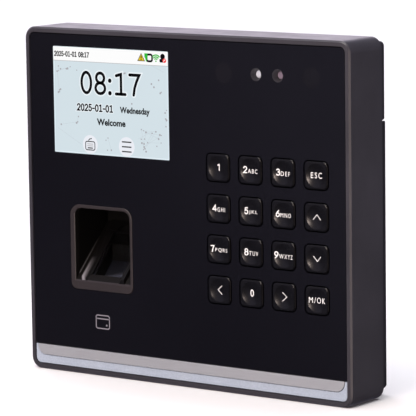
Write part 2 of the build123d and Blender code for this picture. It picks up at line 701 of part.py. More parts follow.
with BuildPart() as sensor_glass:
    with BuildSketch(on_deck(-GLASS_DROP - GLASS_T)):
        with Locations((0, (GLASS_LOW + GLASS_HIGH - 0.1) / 2)):
            Rectangle(GLASS_W, GLASS_HIGH - 0.1 - GLASS_LOW)
    extrude(amount=GLASS_T)
    chamfer(sensor_glass.edges().filter_by(Axis.X), 0.12)
save(sensor_glass, "sensor_glass")

chamber_x = (READER_X - CHAMBER_HALF_W, READER_X + CHAMBER_HALF_W)
block_top_drop = FRAME_T + 0.02
floor_front = CHAMBER_BACK - CHAMBER_FLOOR_Z + CHAMBER_CORNER_Z     # the floor rises at 45 degrees

with BuildPart() as sensor_housing:
    # wedge under the deck, hollowed into the chamber that shows through the glass
    side_section(
        READER_X - SENSOR_BLOCK_HALF_W,
        READER_X + SENSOR_BLOCK_HALF_W,
        (
            (SENSOR_BLOCK_FRONT, deck_z(SENSOR_BLOCK_FRONT, block_top_drop)),
            (SENSOR_BLOCK_BACK, deck_z(SENSOR_BLOCK_BACK, block_top_drop)),
            (SENSOR_BLOCK_BACK, SENSOR_BLOCK_LOW),
            (SENSOR_BLOCK_FRONT, SENSOR_BLOCK_LOW),
        ),
    )
    side_section(
        *chamber_x,
        (
            (CHAMBER_FRONT, deck_z(CHAMBER_FRONT, block_top_drop - 0.5)),
            (CHAMBER_BACK, deck_z(CHAMBER_BACK, block_top_drop - 0.5)),
            (CHAMBER_BACK, CHAMBER_CORNER_Z),
            (floor_front, CHAMBER_FLOOR_Z),
            (CHAMBER_FRONT, CHAMBER_FLOOR_Z),
        ),
        mode=Mode.SUBTRACT,
    )
save(sensor_housing, "sensor_housing")

with BuildPart() as sensor_diffuser:
    # lit plate lying on the chamber's sloping floor
    side_section(
        chamber_x[0] + FIT,
        chamber_x[1] - FIT,
        (
            (CHAMBER_BACK + FIT, CHAMBER_CORNER_Z + FIT),
            (floor_front + FIT, CHAMBER_FLOOR_Z + FIT),
            (floor_front + FIT + DIFFUSER_T, CHAMBER_FLOOR_Z + FIT),
            (CHAMBER_BACK + FIT, CHAMBER_CORNER_Z + FIT + DIFFUSER_T),
        ),
    )
save(sensor_diffuser, "sensor_diffuser")

with BuildPart() as sensor_board:
    sensor_board_front = SENSOR_BLOCK_BACK - FIT
    sensor_board_at = (READER_X, SENSOR_BOARD_Z)
    slab(SENSOR_BOARD, 1.0, sensor_board_front - SMALL_BOARD_T, sensor_board_front, sensor_board_at)
save(sensor_board, "sensor_board")

with BuildPart() as card_antenna:
    slab(CARD_BOARD, 1.0, SHELF_BACK - 1.2, SHELF_BACK - 0.2, CARD_AT)
    slab(CARD_BOARD_HOLE, 1.0, SHELF_BACK - 1.2, SHELF_BACK - 0.2, CARD_AT, mode=Mode.SUBTRACT)
save(card_antenna, "card_antenna")


# ---- rear cover ----

flange_w = INSIDE_W - 0.4
flange_h = INSIDE_H - 0.4
flange_high = REAR_STEP + COVER_T
lower_mid = (0, (LOWER_Z_LOW + UPPER_Z[0]) / 2)
lower_h = UPPER_Z[0] - LOWER_Z_LOW
upper_mid = (0, (UPPER_Z[0] + UPPER_Z[1]) / 2)
upper_h = UPPER_Z[1] - UPPER_Z[0]
lower_inside = LOWER_BACK + COVER_T

with BuildPart() as rear_cover:
    slab((flange_w, flange_h), CORNER_R - SIDE_WALL - 0.2, REAR_STEP, flange_high)
    with BuildSketch(level(UPPER_BACK)) as upper_outline:
        with Locations(upper_mid):
            Rectangle(2 * UPPER_HALF_W, upper_h)
        fillet(upper_outline.vertices().group_by(Axis.Y)[0], UPPER_LOW_R)
        fillet(upper_outline.vertices().group_by(Axis.Y)[-1], PLATE_R)
    extrude(amount=REAR_STEP - UPPER_BACK)
    fillet(rear_cover.faces().sort_by(Axis.Y)[-1].edges(), UPPER_EDGE_R)
    slab((2 * LOWER_HALF_W, lower_h + 3.0), PLATE_R, LOWER_BACK, REAR_STEP, (0, lower_mid[1] + 1.5))
    # hollow inside, joined through both plateaus
    hollow = (2 * (LOWER_HALF_W - COVER_T), lower_h - COVER_T + 2.0)
    hollow_mid = (0, lower_mid[1] + COVER_T / 2 + 1.0)
    slab(hollow, 1.0, lower_inside, flange_high, hollow_mid, mode=Mode.SUBTRACT)
    hollow = (2 * (UPPER_HALF_W - COVER_T), upper_h - 2 * COVER_T)
    slab(hollow, 1.0, UPPER_BACK + COVER_T, flange_high, upper_mid, mode=Mode.SUBTRACT)
    # tubes for the case screws
    for place in CASE_SCREWS_AT:
        back = UPPER_BACK if place[1] > UPPER_Z[0] else LOWER_BACK
        posts([place], CASE_TUBE_R, back + COVER_T / 2, CASE_TUBE_HIGH)
        posts([place], CASE_HEAD_R + 0.35, back, CASE_SCREW_SEAT, mode=Mode.SUBTRACT)
        posts([place], CASE_PILOT_R + 0.35, CASE_SCREW_SEAT, CASE_TUBE_HIGH, mode=Mode.SUBTRACT)
    # boss for the security screw, drilled upwards from below
    box_between((-4.0, 4.0), (LOWER_Z_LOW + COVER_T, LOWER_Z_LOW + COVER_T + 4.0), lower_inside, 10.0)
    with BuildSketch(Plane.XY.offset(LOWER_Z_LOW)) as security_hole:
        with Locations((0, -SECURITY_SCREW_H)):
            Circle(SECURITY_SCREW_R + FIT)
    extrude(security_hole.sketch, amount=5.0, mode=Mode.SUBTRACT)
    # connector recess, hook slots, speaker grille and the tamper switch's hole
    slab(RECESS_WINDOW, 2.0, LOWER_BACK, lower_inside, RECESS_WINDOW_AT, mode=Mode.SUBTRACT)
    for hook_z in HOOK_Z:
        slot_low = hook_z - LIFT - 0.4
        slot_high = hook_z + PLATE_T + 0.1
        slot = (HOOK_W + 0.8, slot_high - slot_low)
        for side in (-1, 1):
            slot_mid = (side * HOOK_X, (slot_low + slot_high) / 2)
            slab(slot, 0.3, LOWER_BACK, lower_inside, slot_mid, mode=Mode.SUBTRACT)
    with BuildSketch(level(LOWER_BACK)) as grille:
        with Locations(SPEAKER_AT):
            with GridLocations(GRILLE_PITCH, GRILLE_PITCH, 6, 4):
                Circle(GRILLE_HOLE_R)
    extrude(grille.sketch, amount=COVER_T, mode=Mode.SUBTRACT)
    posts([TAMPER_AT], TAMPER_R + 0.4, LOWER_BACK, lower_inside, mode=Mode.SUBTRACT)
save(rear_cover, "rear_cover")

with BuildPart() as rear_gasket:
    # foam ring squeezed between the cover's flange and a step in the housing
    gasket_low = flange_high + FIT
    gasket_high = gasket_low + 0.8
    slab((flange_w, flange_h), CORNER_R - SIDE_WALL - 0.2, gasket_low, gasket_high)
    slab((flange_w - 3.4, flange_h - 3.4), 1.0, gasket_low, gasket_high, mode=Mode.SUBTRACT)
save(rear_gasket, "rear_gasket")

with BuildPart() as case_screws:
    posts(CASE_SCREWS_AT, CASE_HEAD_R, CASE_SCREW_SEAT - 2.0, CASE_SCREW_SEAT - 0.02)
    posts(CASE_SCREWS_AT, CASE_PILOT_R - FIT, CASE_SCREW_SEAT - 0.02, CASE_PILOT_HIGH - 1.0)
    with BuildSketch(level(CASE_SCREW_SEAT - 2.0)) as cross:
        with Locations(*CASE_SCREWS_AT):
            Rectangle(3.0, 0.7)
            Rectangle(0.7, 3.0)
    extrude(cross.sketch, amount=1.0, mode=Mode.SUBTRACT)
save(case_screws, "case_screws")


# ---- boards, connectors and the parts on them ----

with BuildPart() as main_board:
    box_between((-66.0, 66.0), (6.0, 61.0), BOARD_BACK, BOARD_FRONT)
    box_between((-22.0, 66.0), (-58.0, 6.0), BOARD_BACK, BOARD_FRONT)
    posts(board_posts, 1.35, BOARD_BACK, BOARD_FRONT, mode=Mode.SUBTRACT)
save(main_board, "main_board")

with BuildPart() as main_chips:
    # processor, memory, storage, audio and radio chips
    for size, center in (
        ((15.0, 15.0), (24.0, 34.0)),
        ((11.0, 8.0), (42.0, 36.0)),
        ((13.0, 11.0), (4.0, 34.0)),
        ((6.0, 6.0), (-10.0, -30.0)),
        ((13.0, 12.0), (48.0, 52.0)),
    ):
        slab(size, 0.3, BOARD_FRONT, BOARD_FRONT + 1.4, center)
save(main_chips, "main_chips")

with BuildPart() as board_screws:
    posts(board_posts, 2.4, BOARD_BACK - 1.6, BOARD_BACK - 0.02)
    posts(board_posts, BOARD_PILOT_R - FIT, BOARD_BACK - 0.02, BOARD_PILOT_HIGH - 1.0)
    posts(keypad_posts, 1.9, board_low - 1.3, board_low - 0.02)
    posts(keypad_posts, KEYPAD_PILOT_R - FIT, board_low - 0.02, SHELF_TOP - 1.2)
save(board_screws, "board_screws")

with BuildPart() as network_jack:
    jack_x = (-JACK_HALF_W, JACK_HALF_W)
    jack_z = (CONNECTOR_FACE_Z, CONNECTOR_FACE_Z + JACK_LENGTH)
    jack_low = BOARD_BACK - JACK_H
    box_between(jack_x, jack_z, jack_low, BOARD_BACK - 0.02)
    # socket for the plug, and the narrower channel for its latch
    plug_z = (CONNECTOR_FACE_Z, CONNECTOR_FACE_Z + 12.5)
    box_between((-5.9, 5.9), plug_z, jack_low + 3.4, BOARD_BACK - 1.6, mode=Mode.SUBTRACT)
    latch_z = (CONNECTOR_FACE_Z, CONNECTOR_FACE_Z + 9.0)
    box_between((-3.0, 3.0), latch_z, jack_low + 1.3, jack_low + 3.4, mode=Mode.SUBTRACT)
save(network_jack, "network_jack")

with BuildPart() as usb_port:
    usb_x = (USB_X - USB_HALF_W, USB_X + USB_HALF_W)
    usb_z = (CONNECTOR_FACE_Z, CONNECTOR_FACE_Z + USB_LENGTH)
    usb_low = BOARD_BACK - USB_H
    box_between(usb_x, usb_z, usb_low, BOARD_BACK - 0.02)
    shell_z = (CONNECTOR_FACE_Z, CONNECTOR_FACE_Z + 11.0)
    box_between((USB_X - 6.5, USB_X + 6.5), shell_z, usb_low + 0.6, BOARD_BACK - 1.2, mode=Mode.SUBTRACT)
    # contact tongue that stands inside the shell
    tongue_z = (CONNECTOR_FACE_Z + 1.5, CONNECTOR_FACE_Z + 11.0)
    box_between((USB_X - 5.6, USB_X + 5.6), tongue_z, BOARD_BACK - 2.2, BOARD_BACK - 1.2)
save(usb_port, "usb_port")

with BuildPart() as terminal_blocks:
    # plug-in screw terminals: five ways for door wiring and two for power
    for ways, x_low in ((5, 27.0), (2, 54.5)):
        x_high = x_low + ways * TERMINAL_PITCH
        block_z = (CONNECTOR_FACE_Z, CONNECTOR_FACE_Z + TERMINAL_H)
        block_back = BOARD_BACK - TERMINAL_H
        box_between((x_low, x_high), block_z, block_back, BOARD_BACK - 0.02)
        wires = [(x_low + (i + 0.5) * TERMINAL_PITCH, -(BOARD_BACK - 3.4)) for i in range(ways)]
        with BuildSketch(Plane.XY.offset(CONNECTOR_FACE_Z)) as wire_holes:
            with Locations(*wires):
                Rectangle(3.0, 3.0)
        extrude(wire_holes.sketch, amount=6.0, mode=Mode.SUBTRACT)
        screws = [(x, CONNECTOR_FACE_Z + TERMINAL_H / 2) for x, _ in wires]
        posts(screws, 1.6, block_back, block_back + 1.0, mode=Mode.SUBTRACT)
save(terminal_blocks, "terminal_blocks")

with BuildPart() as clock_battery:
    battery_back = BOARD_FRONT + 0.6
    posts([BATTERY_AT], BATTERY_R, battery_back, battery_back + BATTERY_H)
    chamfer(clock_battery.edges().filter_by(GeomType.CIRCLE), 0.3)
save(clock_battery, "clock_battery")

with BuildPart() as speaker:
    speaker_base = lower_inside + FIT
    slab(SPEAKER, 3.0, speaker_base, speaker_base + SPEAKER_H, SPEAKER_AT)
    slab(SPEAKER_MOUTH, 2.0, speaker_base, speaker_base + 0.8, SPEAKER_AT, mode=Mode.SUBTRACT)
save(speaker, "speaker")

with BuildPart() as wifi_antenna:
    box_between((-50.0, -8.0), (INSIDE_H / 2 - 1.0, INSIDE_H / 2 - 0.1), 14.0, 21.0)
save(wifi_antenna, "wifi_antenna")

with BuildPart() as tamper_switch:
    switch_back = BOARD_BACK - TAMPER_SWITCH_H
    switch_seat = BOARD_BACK - 0.8
    slab((TAMPER_SWITCH, TAMPER_SWITCH), 0.6, switch_back, BOARD_BACK - 0.02, TAMPER_AT)
    posts([TAMPER_AT], TAMPER_R + FIT, switch_back, switch_seat, mode=Mode.SUBTRACT)
save(tamper_switch, "tamper_switch")

with BuildPart() as tamper_plunger:
    plunger_tip = PLATE_T + 0.2
    posts([TAMPER_AT], TAMPER_R, plunger_tip, switch_seat - TAMPER_TRAVEL - 0.3)
    fillet(tamper_plunger.edges().filter_by(GeomType.CIRCLE).sort_by(Axis.Y)[-1], 0.8)
save(tamper_plunger, "tamper_plunger")


# ---- wall plate ----

plate_size = (2 * PLATE_HALF_W, PLATE_HIGH - PLATE_LOW)
plate_mid = (0, (PLATE_HIGH + PLATE_LOW) / 2)

with BuildPart() as wall_plate:
    # folded steel tray: base, two side flanges and a bottom flange
    with BuildSketch(level(0)) as plate_outline:
        with Locations(plate_mid):
            Rectangle(*plate_size)
        fillet(plate_outline.vertices().group_by(Axis.Y)[0], PLATE_R)
        fillet(plate_outline.vertices().group_by(Axis.Y)[-1], PLATE_TOP_R)
    extrude(amount=PLATE_FLANGE_H)
    tray = (plate_size[0] - 2 * PLATE_T, plate_size[1] + 10.0)
    tray_mid = (0, plate_mid[1] + PLATE_T + 5.0)
    slab(tray, PLATE_R - PLATE_T, PLATE_T, PLATE_FLANGE_H, tray_mid, mode=Mode.SUBTRACT)
    slab(CABLE_WINDOW, 3.0, 0, PLATE_T, CABLE_WINDOW_AT, mode=Mode.SUBTRACT)
    for hook_z in HOOK_Z:
        for side in (-1, 1):
            x = (side * HOOK_X - HOOK_W / 2, side * HOOK_X + HOOK_W / 2)
            # hook bent out of the sheet: stem, upturned lip, and the gap it was cut from
            box_between(x, (hook_z + PLATE_T, hook_z + PLATE_T + 7.0), 0, PLATE_T, mode=Mode.SUBTRACT)
            box_between(x, (hook_z, hook_z + PLATE_T), 0, HOOK_TOP)
            box_between(x, (hook_z, hook_z + HOOK_LIP), HOOK_TOP - PLATE_T, HOOK_TOP)
    with BuildSketch(level(0)) as wall_holes:
        with GridLocations(*SCREW_PATTERN, 2, 2):
            Circle(SCREW_HOLE_R)
    extrude(wall_holes.sketch, amount=PLATE_T, mode=Mode.SUBTRACT)
    with BuildSketch(Plane.XY.offset(PLATE_LOW)) as flange_hole:
        with Locations((0, -SECURITY_SCREW_H)):
            Circle(SECURITY_SCREW_R + 0.25)
    extrude(flange_hole.sketch, amount=PLATE_T, mode=Mode.SUBTRACT)
save(wall_plate, "wall_plate")

with BuildPart() as security_screw:
    head_low = PLATE_LOW - SECURITY_HEAD_H
    with BuildSketch(Plane.XY.offset(head_low)):
        with Locations((0, -SECURITY_SCREW_H)):
            Circle(SECURITY_HEAD_R)
    extrude(amount=SECURITY_HEAD_H - 0.02)
    with BuildSketch(Plane.XY.offset(PLATE_LOW - 0.02)) as screw_shank:
        with Locations((0, -SECURITY_SCREW_H)):
            Circle(SECURITY_SCREW_R)
    extrude(screw_shank.sketch, amount=LOWER_Z_LOW + 4.2 - PLATE_LOW)
    with BuildSketch(Plane.XY.offset(head_low)) as socket:
        with Locations((0, -SECURITY_SCREW_H)):
            RegularPolygon(1.1, 6)
    extrude(socket.sketch, amount=1.0, mode=Mode.SUBTRACT)
save(security_screw, "security_screw")
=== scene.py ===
import json
import math
import random

import bmesh
import bpy
from mathutils import Matrix, Vector
from mathutils.bvhtree import BVHTree


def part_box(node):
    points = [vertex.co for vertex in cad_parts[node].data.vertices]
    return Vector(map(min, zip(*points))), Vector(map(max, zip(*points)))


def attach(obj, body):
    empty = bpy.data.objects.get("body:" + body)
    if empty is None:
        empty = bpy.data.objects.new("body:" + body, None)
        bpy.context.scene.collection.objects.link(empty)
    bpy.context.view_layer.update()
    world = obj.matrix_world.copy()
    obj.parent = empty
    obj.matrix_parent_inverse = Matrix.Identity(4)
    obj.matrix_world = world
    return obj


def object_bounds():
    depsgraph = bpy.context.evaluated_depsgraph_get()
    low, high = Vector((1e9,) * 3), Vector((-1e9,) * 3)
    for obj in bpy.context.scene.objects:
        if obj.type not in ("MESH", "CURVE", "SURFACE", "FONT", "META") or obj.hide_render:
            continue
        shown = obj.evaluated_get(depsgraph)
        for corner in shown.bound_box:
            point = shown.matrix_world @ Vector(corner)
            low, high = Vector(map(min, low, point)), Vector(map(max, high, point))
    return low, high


# Looks of the fingerprint terminal: materials for every CAD node, printed legends, the lit
# picture on the screen, studio, light and camera. Metres, in the frame of the CAD model.

MM = 0.001

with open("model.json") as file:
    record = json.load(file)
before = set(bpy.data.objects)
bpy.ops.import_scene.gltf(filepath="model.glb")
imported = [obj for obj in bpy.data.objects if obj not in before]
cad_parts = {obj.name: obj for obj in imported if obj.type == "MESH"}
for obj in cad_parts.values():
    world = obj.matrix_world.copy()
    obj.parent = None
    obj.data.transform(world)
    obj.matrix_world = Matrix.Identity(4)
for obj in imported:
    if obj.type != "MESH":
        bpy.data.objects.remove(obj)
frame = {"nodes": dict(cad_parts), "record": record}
nodes = frame["nodes"]
cad_low, cad_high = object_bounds()


# ---- camera: long lens, from the right and slightly above ----

CAMERA_AT = Vector((0.7474, -1.0271, 0.1762))
CAMERA_YAW = 36.438
CAMERA_TILT = 82.005
CAMERA_ROLL = -0.78
CAMERA_LENS = 261.2


def make_camera():
    data = bpy.data.cameras.new("camera")
    data.lens = CAMERA_LENS
    data.sensor_width = 36.0
    data.clip_start = 0.05
    data.clip_end = 60.0
    camera = bpy.data.objects.new("camera", data)
    bpy.context.scene.collection.objects.link(camera)
    turn = Matrix.Rotation(math.radians(CAMERA_YAW), 4, "Z")
    turn @= Matrix.Rotation(math.radians(CAMERA_TILT), 4, "X")
    turn @= Matrix.Rotation(math.radians(CAMERA_ROLL), 4, "Z")
    camera.matrix_world = Matrix.Translation(CAMERA_AT) @ turn
    bpy.context.scene.camera = camera


make_camera()


# ---- node helpers ----

def add_node(tree, kind, links=None, **values):
    """A shader node with its sockets set by name (spaces as underscores) and linked."""
    node = tree.nodes.new(kind)
    for key, value in values.items():
        socket = node.inputs.get(key.replace("_", " "))
        if socket is None:
            setattr(node, key, value)
        else:
            socket.default_value = value
    for key, source in (links or {}).items():
        tree.links.new(source, node.inputs[key])
    return node


def new_material(name):
    """A material with a linked shader; returns it, its tree, the shader and the coordinates."""
    made = bpy.data.materials.new(name)
    made.use_nodes = True
    tree = made.node_tree
    tree.nodes.clear()
    shader = tree.nodes.new("ShaderNodeBsdfPrincipled")
    output = tree.nodes.new("ShaderNodeOutputMaterial")
    tree.links.new(shader.outputs["BSDF"], output.inputs["Surface"])
    coordinates = tree.nodes.new("ShaderNodeTexCoord").outputs["Object"]
    return made, tree, shader, coordinates


def scaled(tree, coordinates, stretch):
    mapping = add_node(tree, "ShaderNodeMapping", {"Vector": coordinates}, Scale=stretch)
    return mapping.outputs["Vector"]


def noise(tree, coordinates, size, detail=3.0, roughness=0.55):
    """Noise whose features are about size metres across."""
    node = add_node(tree, "ShaderNodeTexNoise", {"Vector": coordinates},
                    Scale=1 / size, Detail=detail, Roughness=roughness)
    return node.outputs["Fac"]


def ramp(tree, factor, low, high, low_value, high_value):
    """Maps a factor between low and high to a value between two limits."""
    node = add_node(tree, "ShaderNodeMapRange", {"Value": factor}, From_Min=low, From_Max=high,
                    To_Min=low_value, To_Max=high_value)
    return node.outputs["Result"]


def blend_colors(tree, factor, first, second):
    """Mixes two colours, given as tuples or as sockets, by a factor socket."""
    node = tree.nodes.new("ShaderNodeMix")
    node.data_type = "RGBA"
    tree.links.new(factor, node.inputs["Factor"])
    for socket, color in ((node.inputs[6], first), (node.inputs[7], second)):
        if isinstance(color, tuple):
            socket.default_value = (*color, 1.0)
        else:
            tree.links.new(color, socket)
    return node.outputs[2]


def shade(color, factor):
    return tuple(min(1.0, c * factor) for c in color)


def maths(tree, operation, first, second):
    """Result of an operation on a socket and on another socket or a number."""
    node = add_node(tree, "ShaderNodeMath", {0: first}, operation=operation)
    if isinstance(second, float):
        node.inputs[1].default_value = second
    else:
        tree.links.new(second, node.inputs[1])
    return node.outputs[0]


def axes(tree, vector):
    """The X, Y and Z of a vector socket, by name."""
    return add_node(tree, "ShaderNodeSeparateXYZ", {"Vector": vector}).outputs


def bump(tree, shader, height, depth, strength=0.6):
    """Bump of a real depth in metres."""
    node = add_node(tree, "ShaderNodeBump", {"Height": height}, Strength=strength, Distance=depth)
    tree.links.new(node.outputs["Normal"], shader.inputs["Normal"])


def pieces_of(made):
    """The tree, the shader and the coordinates node of a material."""
    found = {node.type: node for node in made.node_tree.nodes}
    return made.node_tree, found["BSDF_PRINCIPLED"], found["TEX_COORD"]


# ---- finishes ----

WELL_SKIN = 1.7 * MM        # rise across the sloping wall of the well
WELL_SIDE = 1.2 * MM        # thickness of its side wall
# heights above the well's foot between which the painted highlight along its corner fades
WELL_HIGHLIGHT_HEIGHTS = (4 * MM, 16 * MM)
# distances to the left of the glass over which the painted highlight on the left rail starts and ends
RAIL_HIGHLIGHT_OUTSIDE = (2.4 * MM, 1.3 * MM)
RAIL_HIGHLIGHT_END = (3.6 * MM, 3.1 * MM)
CLOUD = 28 * MM             # size of the slow colour changes in a moulding
SMUDGE = 9 * MM             # size of the changes in its gloss
COLOR_VARY = 0.14
SHADE_FADE = 0.25 * MM     # depth over which a moulding's painted shade begins, and its gloss there
SHADE_GLOSS = 0.12
PIXEL_ROW = 1.2 * MM        # the screen's fine rows, how dark they are and how its colours drift
ROW_DEPTH = 0.03
SCREEN_VARY = 0.02


def moulded(name, color, rough, grain=0.35 * MM, depth=0.010 * MM, rough_vary=0.05, specular=0.5,
            stretch=(1, 1, 1), painted_shade=None, painted_shade_from=0.0):
    """Moulded plastic, rubber or paint: cloudy colour, uneven gloss and a fine grain.

    A dark colour for painted shade can be given: it covers what lies a certain depth behind the terminal's
    front face, where the gloss is turned down too."""
    made, tree, shader, at = new_material(name)
    clouds = noise(tree, at, CLOUD)
    mixed = ramp(tree, clouds, 0.3, 0.7, 0.0, 1.0)
    color_out = blend_colors(tree, mixed, shade(color, 1 - COLOR_VARY), shade(color, 1 + COLOR_VARY))
    shader.inputs["Specular IOR Level"].default_value = specular
    if painted_shade is not None:
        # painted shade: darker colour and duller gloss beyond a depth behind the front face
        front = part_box("front_panel")[0].y + painted_shade_from
        behind = ramp(tree, axes(tree, at)["Y"], front, front + SHADE_FADE, 0.0, 1.0)
        color_out = blend_colors(tree, behind, color_out, painted_shade)
        gloss = ramp(tree, behind, 0.0, 1.0, specular, SHADE_GLOSS)
        tree.links.new(gloss, shader.inputs["Specular IOR Level"])
    tree.links.new(color_out, shader.inputs["Base Color"])
    smudges = noise(tree, at, SMUDGE, 4.0)
    rough_out = ramp(tree, smudges, 0.3, 0.7, rough - rough_vary, rough + rough_vary)
    tree.links.new(rough_out, shader.inputs["Roughness"])
    fine = noise(tree, scaled(tree, at, stretch), grain, 2.0)
    bump(tree, shader, fine, depth)
    return made


def metal(name, color, rough, stretch=(1, 1, 1), depth=0.004 * MM, vary=0.08, metallic=1.0):
    """Sheet or turned metal; a stretch makes the grain run one way."""
    made, tree, shader, at = new_material(name)
    lines = noise(tree, scaled(tree, at, stretch), 0.3 * MM, 3.0, 0.65)
    mixed = ramp(tree, lines, 0.3, 0.7, 0.0, 1.0)
    color_out = blend_colors(tree, mixed, shade(color, 1 - vary), shade(color, 1 + vary))
    tree.links.new(color_out, shader.inputs["Base Color"])
    smudges = noise(tree, at, 11 * MM, 3.0)
    rough_out = ramp(tree, smudges, 0.3, 0.7, rough - 0.05, rough + 0.05)
    tree.links.new(rough_out, shader.inputs["Roughness"])
    bump(tree, shader, lines, depth)
    shader.inputs["Metallic"].default_value = metallic
    return made


def gloss_panel(name):
    """Black-backed acrylic: deep gloss with faint waviness and a breath of dust."""
    made, tree, shader, at = new_material(name)
    clouds = noise(tree, at, 60 * MM)
    mixed = ramp(tree, clouds, 0.3, 0.7, 0.0, 1.0)
    color_out = blend_colors(tree, mixed, (0.0020, 0.0018, 0.0032), (0.0028, 0.0026, 0.0042))
    tree.links.new(color_out, shader.inputs["Base Color"])
    dust = noise(tree, at, 0.9 * MM, 5.0, 0.7)
    tree.links.new(ramp(tree, dust, 0.5, 0.85, 0.055, 0.16), shader.inputs["Roughness"])
    waves = noise(tree, at, 22 * MM, 1.0)
    bump(tree, shader, waves, 0.004 * MM, 0.5)
    shader.inputs["Specular IOR Level"].default_value = 0.5
    return made


def milky_bar(name):
    """Milky light guide: pale and slightly cloudy, shining faintly and evenly all over in its own colour as
    painted light.
    """
    made, tree, shader, at = new_material(name)
    clouds = noise(tree, at, 12 * MM)
    mixed = ramp(tree, clouds, 0.3, 0.7, 0.0, 1.0)
    color_out = blend_colors(tree, mixed, (0.352, 0.408, 0.493), (0.375, 0.432, 0.516))
    tree.links.new(color_out, shader.inputs["Base Color"])
    # painted light: the guide shines faintly in its own colour
    tree.links.new(color_out, shader.inputs["Emission Color"])
    shader.inputs["Emission Strength"].default_value = 0.04
    speckle = noise(tree, at, 0.5 * MM, 2.0)
    tree.links.new(ramp(tree, speckle, 0.3, 0.7, 0.22, 0.32), shader.inputs["Roughness"])
    bump(tree, shader, speckle, 0.0012 * MM, 0.4)
    return made


def key_finish(name):
    """Satin key with painted shade: near black where it lies deeper than the panel's face, and its gloss
    turned down at its right and upper edges where they dip into the panel's hole.
    """
    made = moulded(name, (0.0018, 0.0016, 0.0022), 0.245, grain=0.22 * MM, depth=0.003 * MM, specular=0.5,
                   rough_vary=0.03, painted_shade=(0.0004, 0.0004, 0.0004), painted_shade_from=0.45 * MM)
    tree, shader, coordinates = pieces_of(made)
    own = axes(tree, coordinates.outputs["Generated"])
    # painted shade: gloss turned down along the right and upper edges
    right = ramp(tree, own["X"], 0.84, 0.90, 1.0, 0.25)
    top = ramp(tree, own["Z"], 0.87, 0.92, 1.0, 0.45)
    edge = maths(tree, "MULTIPLY", right, top)
    gloss = shader.inputs["Specular IOR Level"].links[0].from_socket
    tree.links.new(maths(tree, "MULTIPLY", gloss, edge), shader.inputs["Specular IOR Level"])
    return made


def frame_with_painted_highlight(name):
    """Dark satin frame whose left rail, beside the glass, carries a painted highlight: pale at the foot,
    fading upward to the glass's mid-height.
    """
    made, tree, shader, at = new_material(name)
    low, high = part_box("sensor_glass")
    here = axes(tree, at)
    on_rail = ramp(tree, here["X"], low.x - RAIL_HIGHLIGHT_OUTSIDE[0], low.x - RAIL_HIGHLIGHT_OUTSIDE[1], 1.0, 0.0)
    off_rail = ramp(tree, here["X"], low.x - RAIL_HIGHLIGHT_END[0], low.x - RAIL_HIGHLIGHT_END[1], 0.0, 1.0)
    highlight_fade = ramp(tree, here["Z"], low.z, (low.z + high.z) / 2, 1.0, 0.0)
    # painted highlight: a pale band on the left rail, fading with height, mixed over the dark frame
    rail = maths(tree, "MULTIPLY", maths(tree, "MULTIPLY", on_rail, off_rail), highlight_fade)
    clouds = noise(tree, at, 6 * MM)
    pale = blend_colors(tree, clouds, (0.17, 0.163, 0.175), (0.24, 0.23, 0.25))
    color_out = blend_colors(tree, rail, (0.0026, 0.0022, 0.0024), pale)
    tree.links.new(color_out, shader.inputs["Base Color"])
    tree.links.new(ramp(tree, clouds, 0.3, 0.7, 0.34, 0.42), shader.inputs["Roughness"])
    shader.inputs["Specular IOR Level"].default_value = 0.22
    bump(tree, shader, noise(tree, at, 0.3 * MM, 2.0), 0.004 * MM)
    return made


def well_matt(name):
    """Matt black moulding with a painted highlight: a pale line along the corner between the sloping deck
    and its wall, fading upward.
    """
    made = moulded(name, (0.0030, 0.0026, 0.0025), 0.5, specular=0.12)
    tree, shader, coordinates = pieces_of(made)
    here = axes(tree, coordinates.outputs["Object"])
    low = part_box("finger_well")[0]
    deck = low.z - low.y + WELL_SKIN
    wall = low.x + WELL_SIDE
    rise = maths(tree, "SUBTRACT", here["Z"], here["Y"])
    near_deck = ramp(tree, rise, deck, deck + 1.0 * MM, 1.0, 0.0)
    near_wall = ramp(tree, here["X"], wall, wall + 0.4 * MM, 1.0, 0.0)
    highlight_fade = ramp(tree, here["Z"], low.z + WELL_HIGHLIGHT_HEIGHTS[0], low.z + WELL_HIGHLIGHT_HEIGHTS[1], 1.0, 0.0)
    # painted highlight: pale colour where the sloping deck meets the left wall
    line = maths(tree, "MULTIPLY", maths(tree, "MULTIPLY", near_deck, near_wall), highlight_fade)
    black = shader.inputs["Base Color"].links[0].from_socket
    color_out = blend_colors(tree, line, black, (0.13, 0.13, 0.135))
    tree.links.new(color_out, shader.inputs["Base Color"])
    return made


def circuit(name):
    """Green solder mask with copper tracks showing through as paler lines and round pads."""
    made, tree, shader, at = new_material(name)
    flat = scaled(tree, at, (1, 0.01, 1))
    bricks = add_node(tree, "ShaderNodeTexBrick", {"Vector": flat}, Scale=260.0, Mortar_Size=0.03,
                      Mortar_Smooth=0.1, Brick_Width=0.9, Row_Height=0.28)
    bricks.inputs["Color1"].default_value = (0, 0, 0, 1)
    bricks.inputs["Color2"].default_value = (0, 0, 0, 1)
    bricks.inputs["Mortar"].default_value = (1, 1, 1, 1)
    where = ramp(tree, noise(tree, at, 16 * MM), 0.42, 0.50, 0.0, 1.0)
    tracks = maths(tree, "MULTIPLY", bricks.outputs["Color"], where)
    pads = add_node(tree, "ShaderNodeTexVoronoi", {"Vector": flat}, Scale=420.0, Randomness=0.35)
    pad = ramp(tree, pads.outputs["Distance"], 0.10, 0.16, 1.0, 0.0)
    mask = blend_colors(tree, tracks, (0.010, 0.070, 0.030), (0.030, 0.150, 0.065))
    tree.links.new(blend_colors(tree, pad, mask, (0.55, 0.48, 0.30)), shader.inputs["Base Color"])
    tree.links.new(pad, shader.inputs["Metallic"])
    tree.links.new(ramp(tree, pad, 0.0, 1.0, 0.32, 0.25), shader.inputs["Roughness"])
    bump(tree, shader, tracks, 0.03 * MM)
    return made


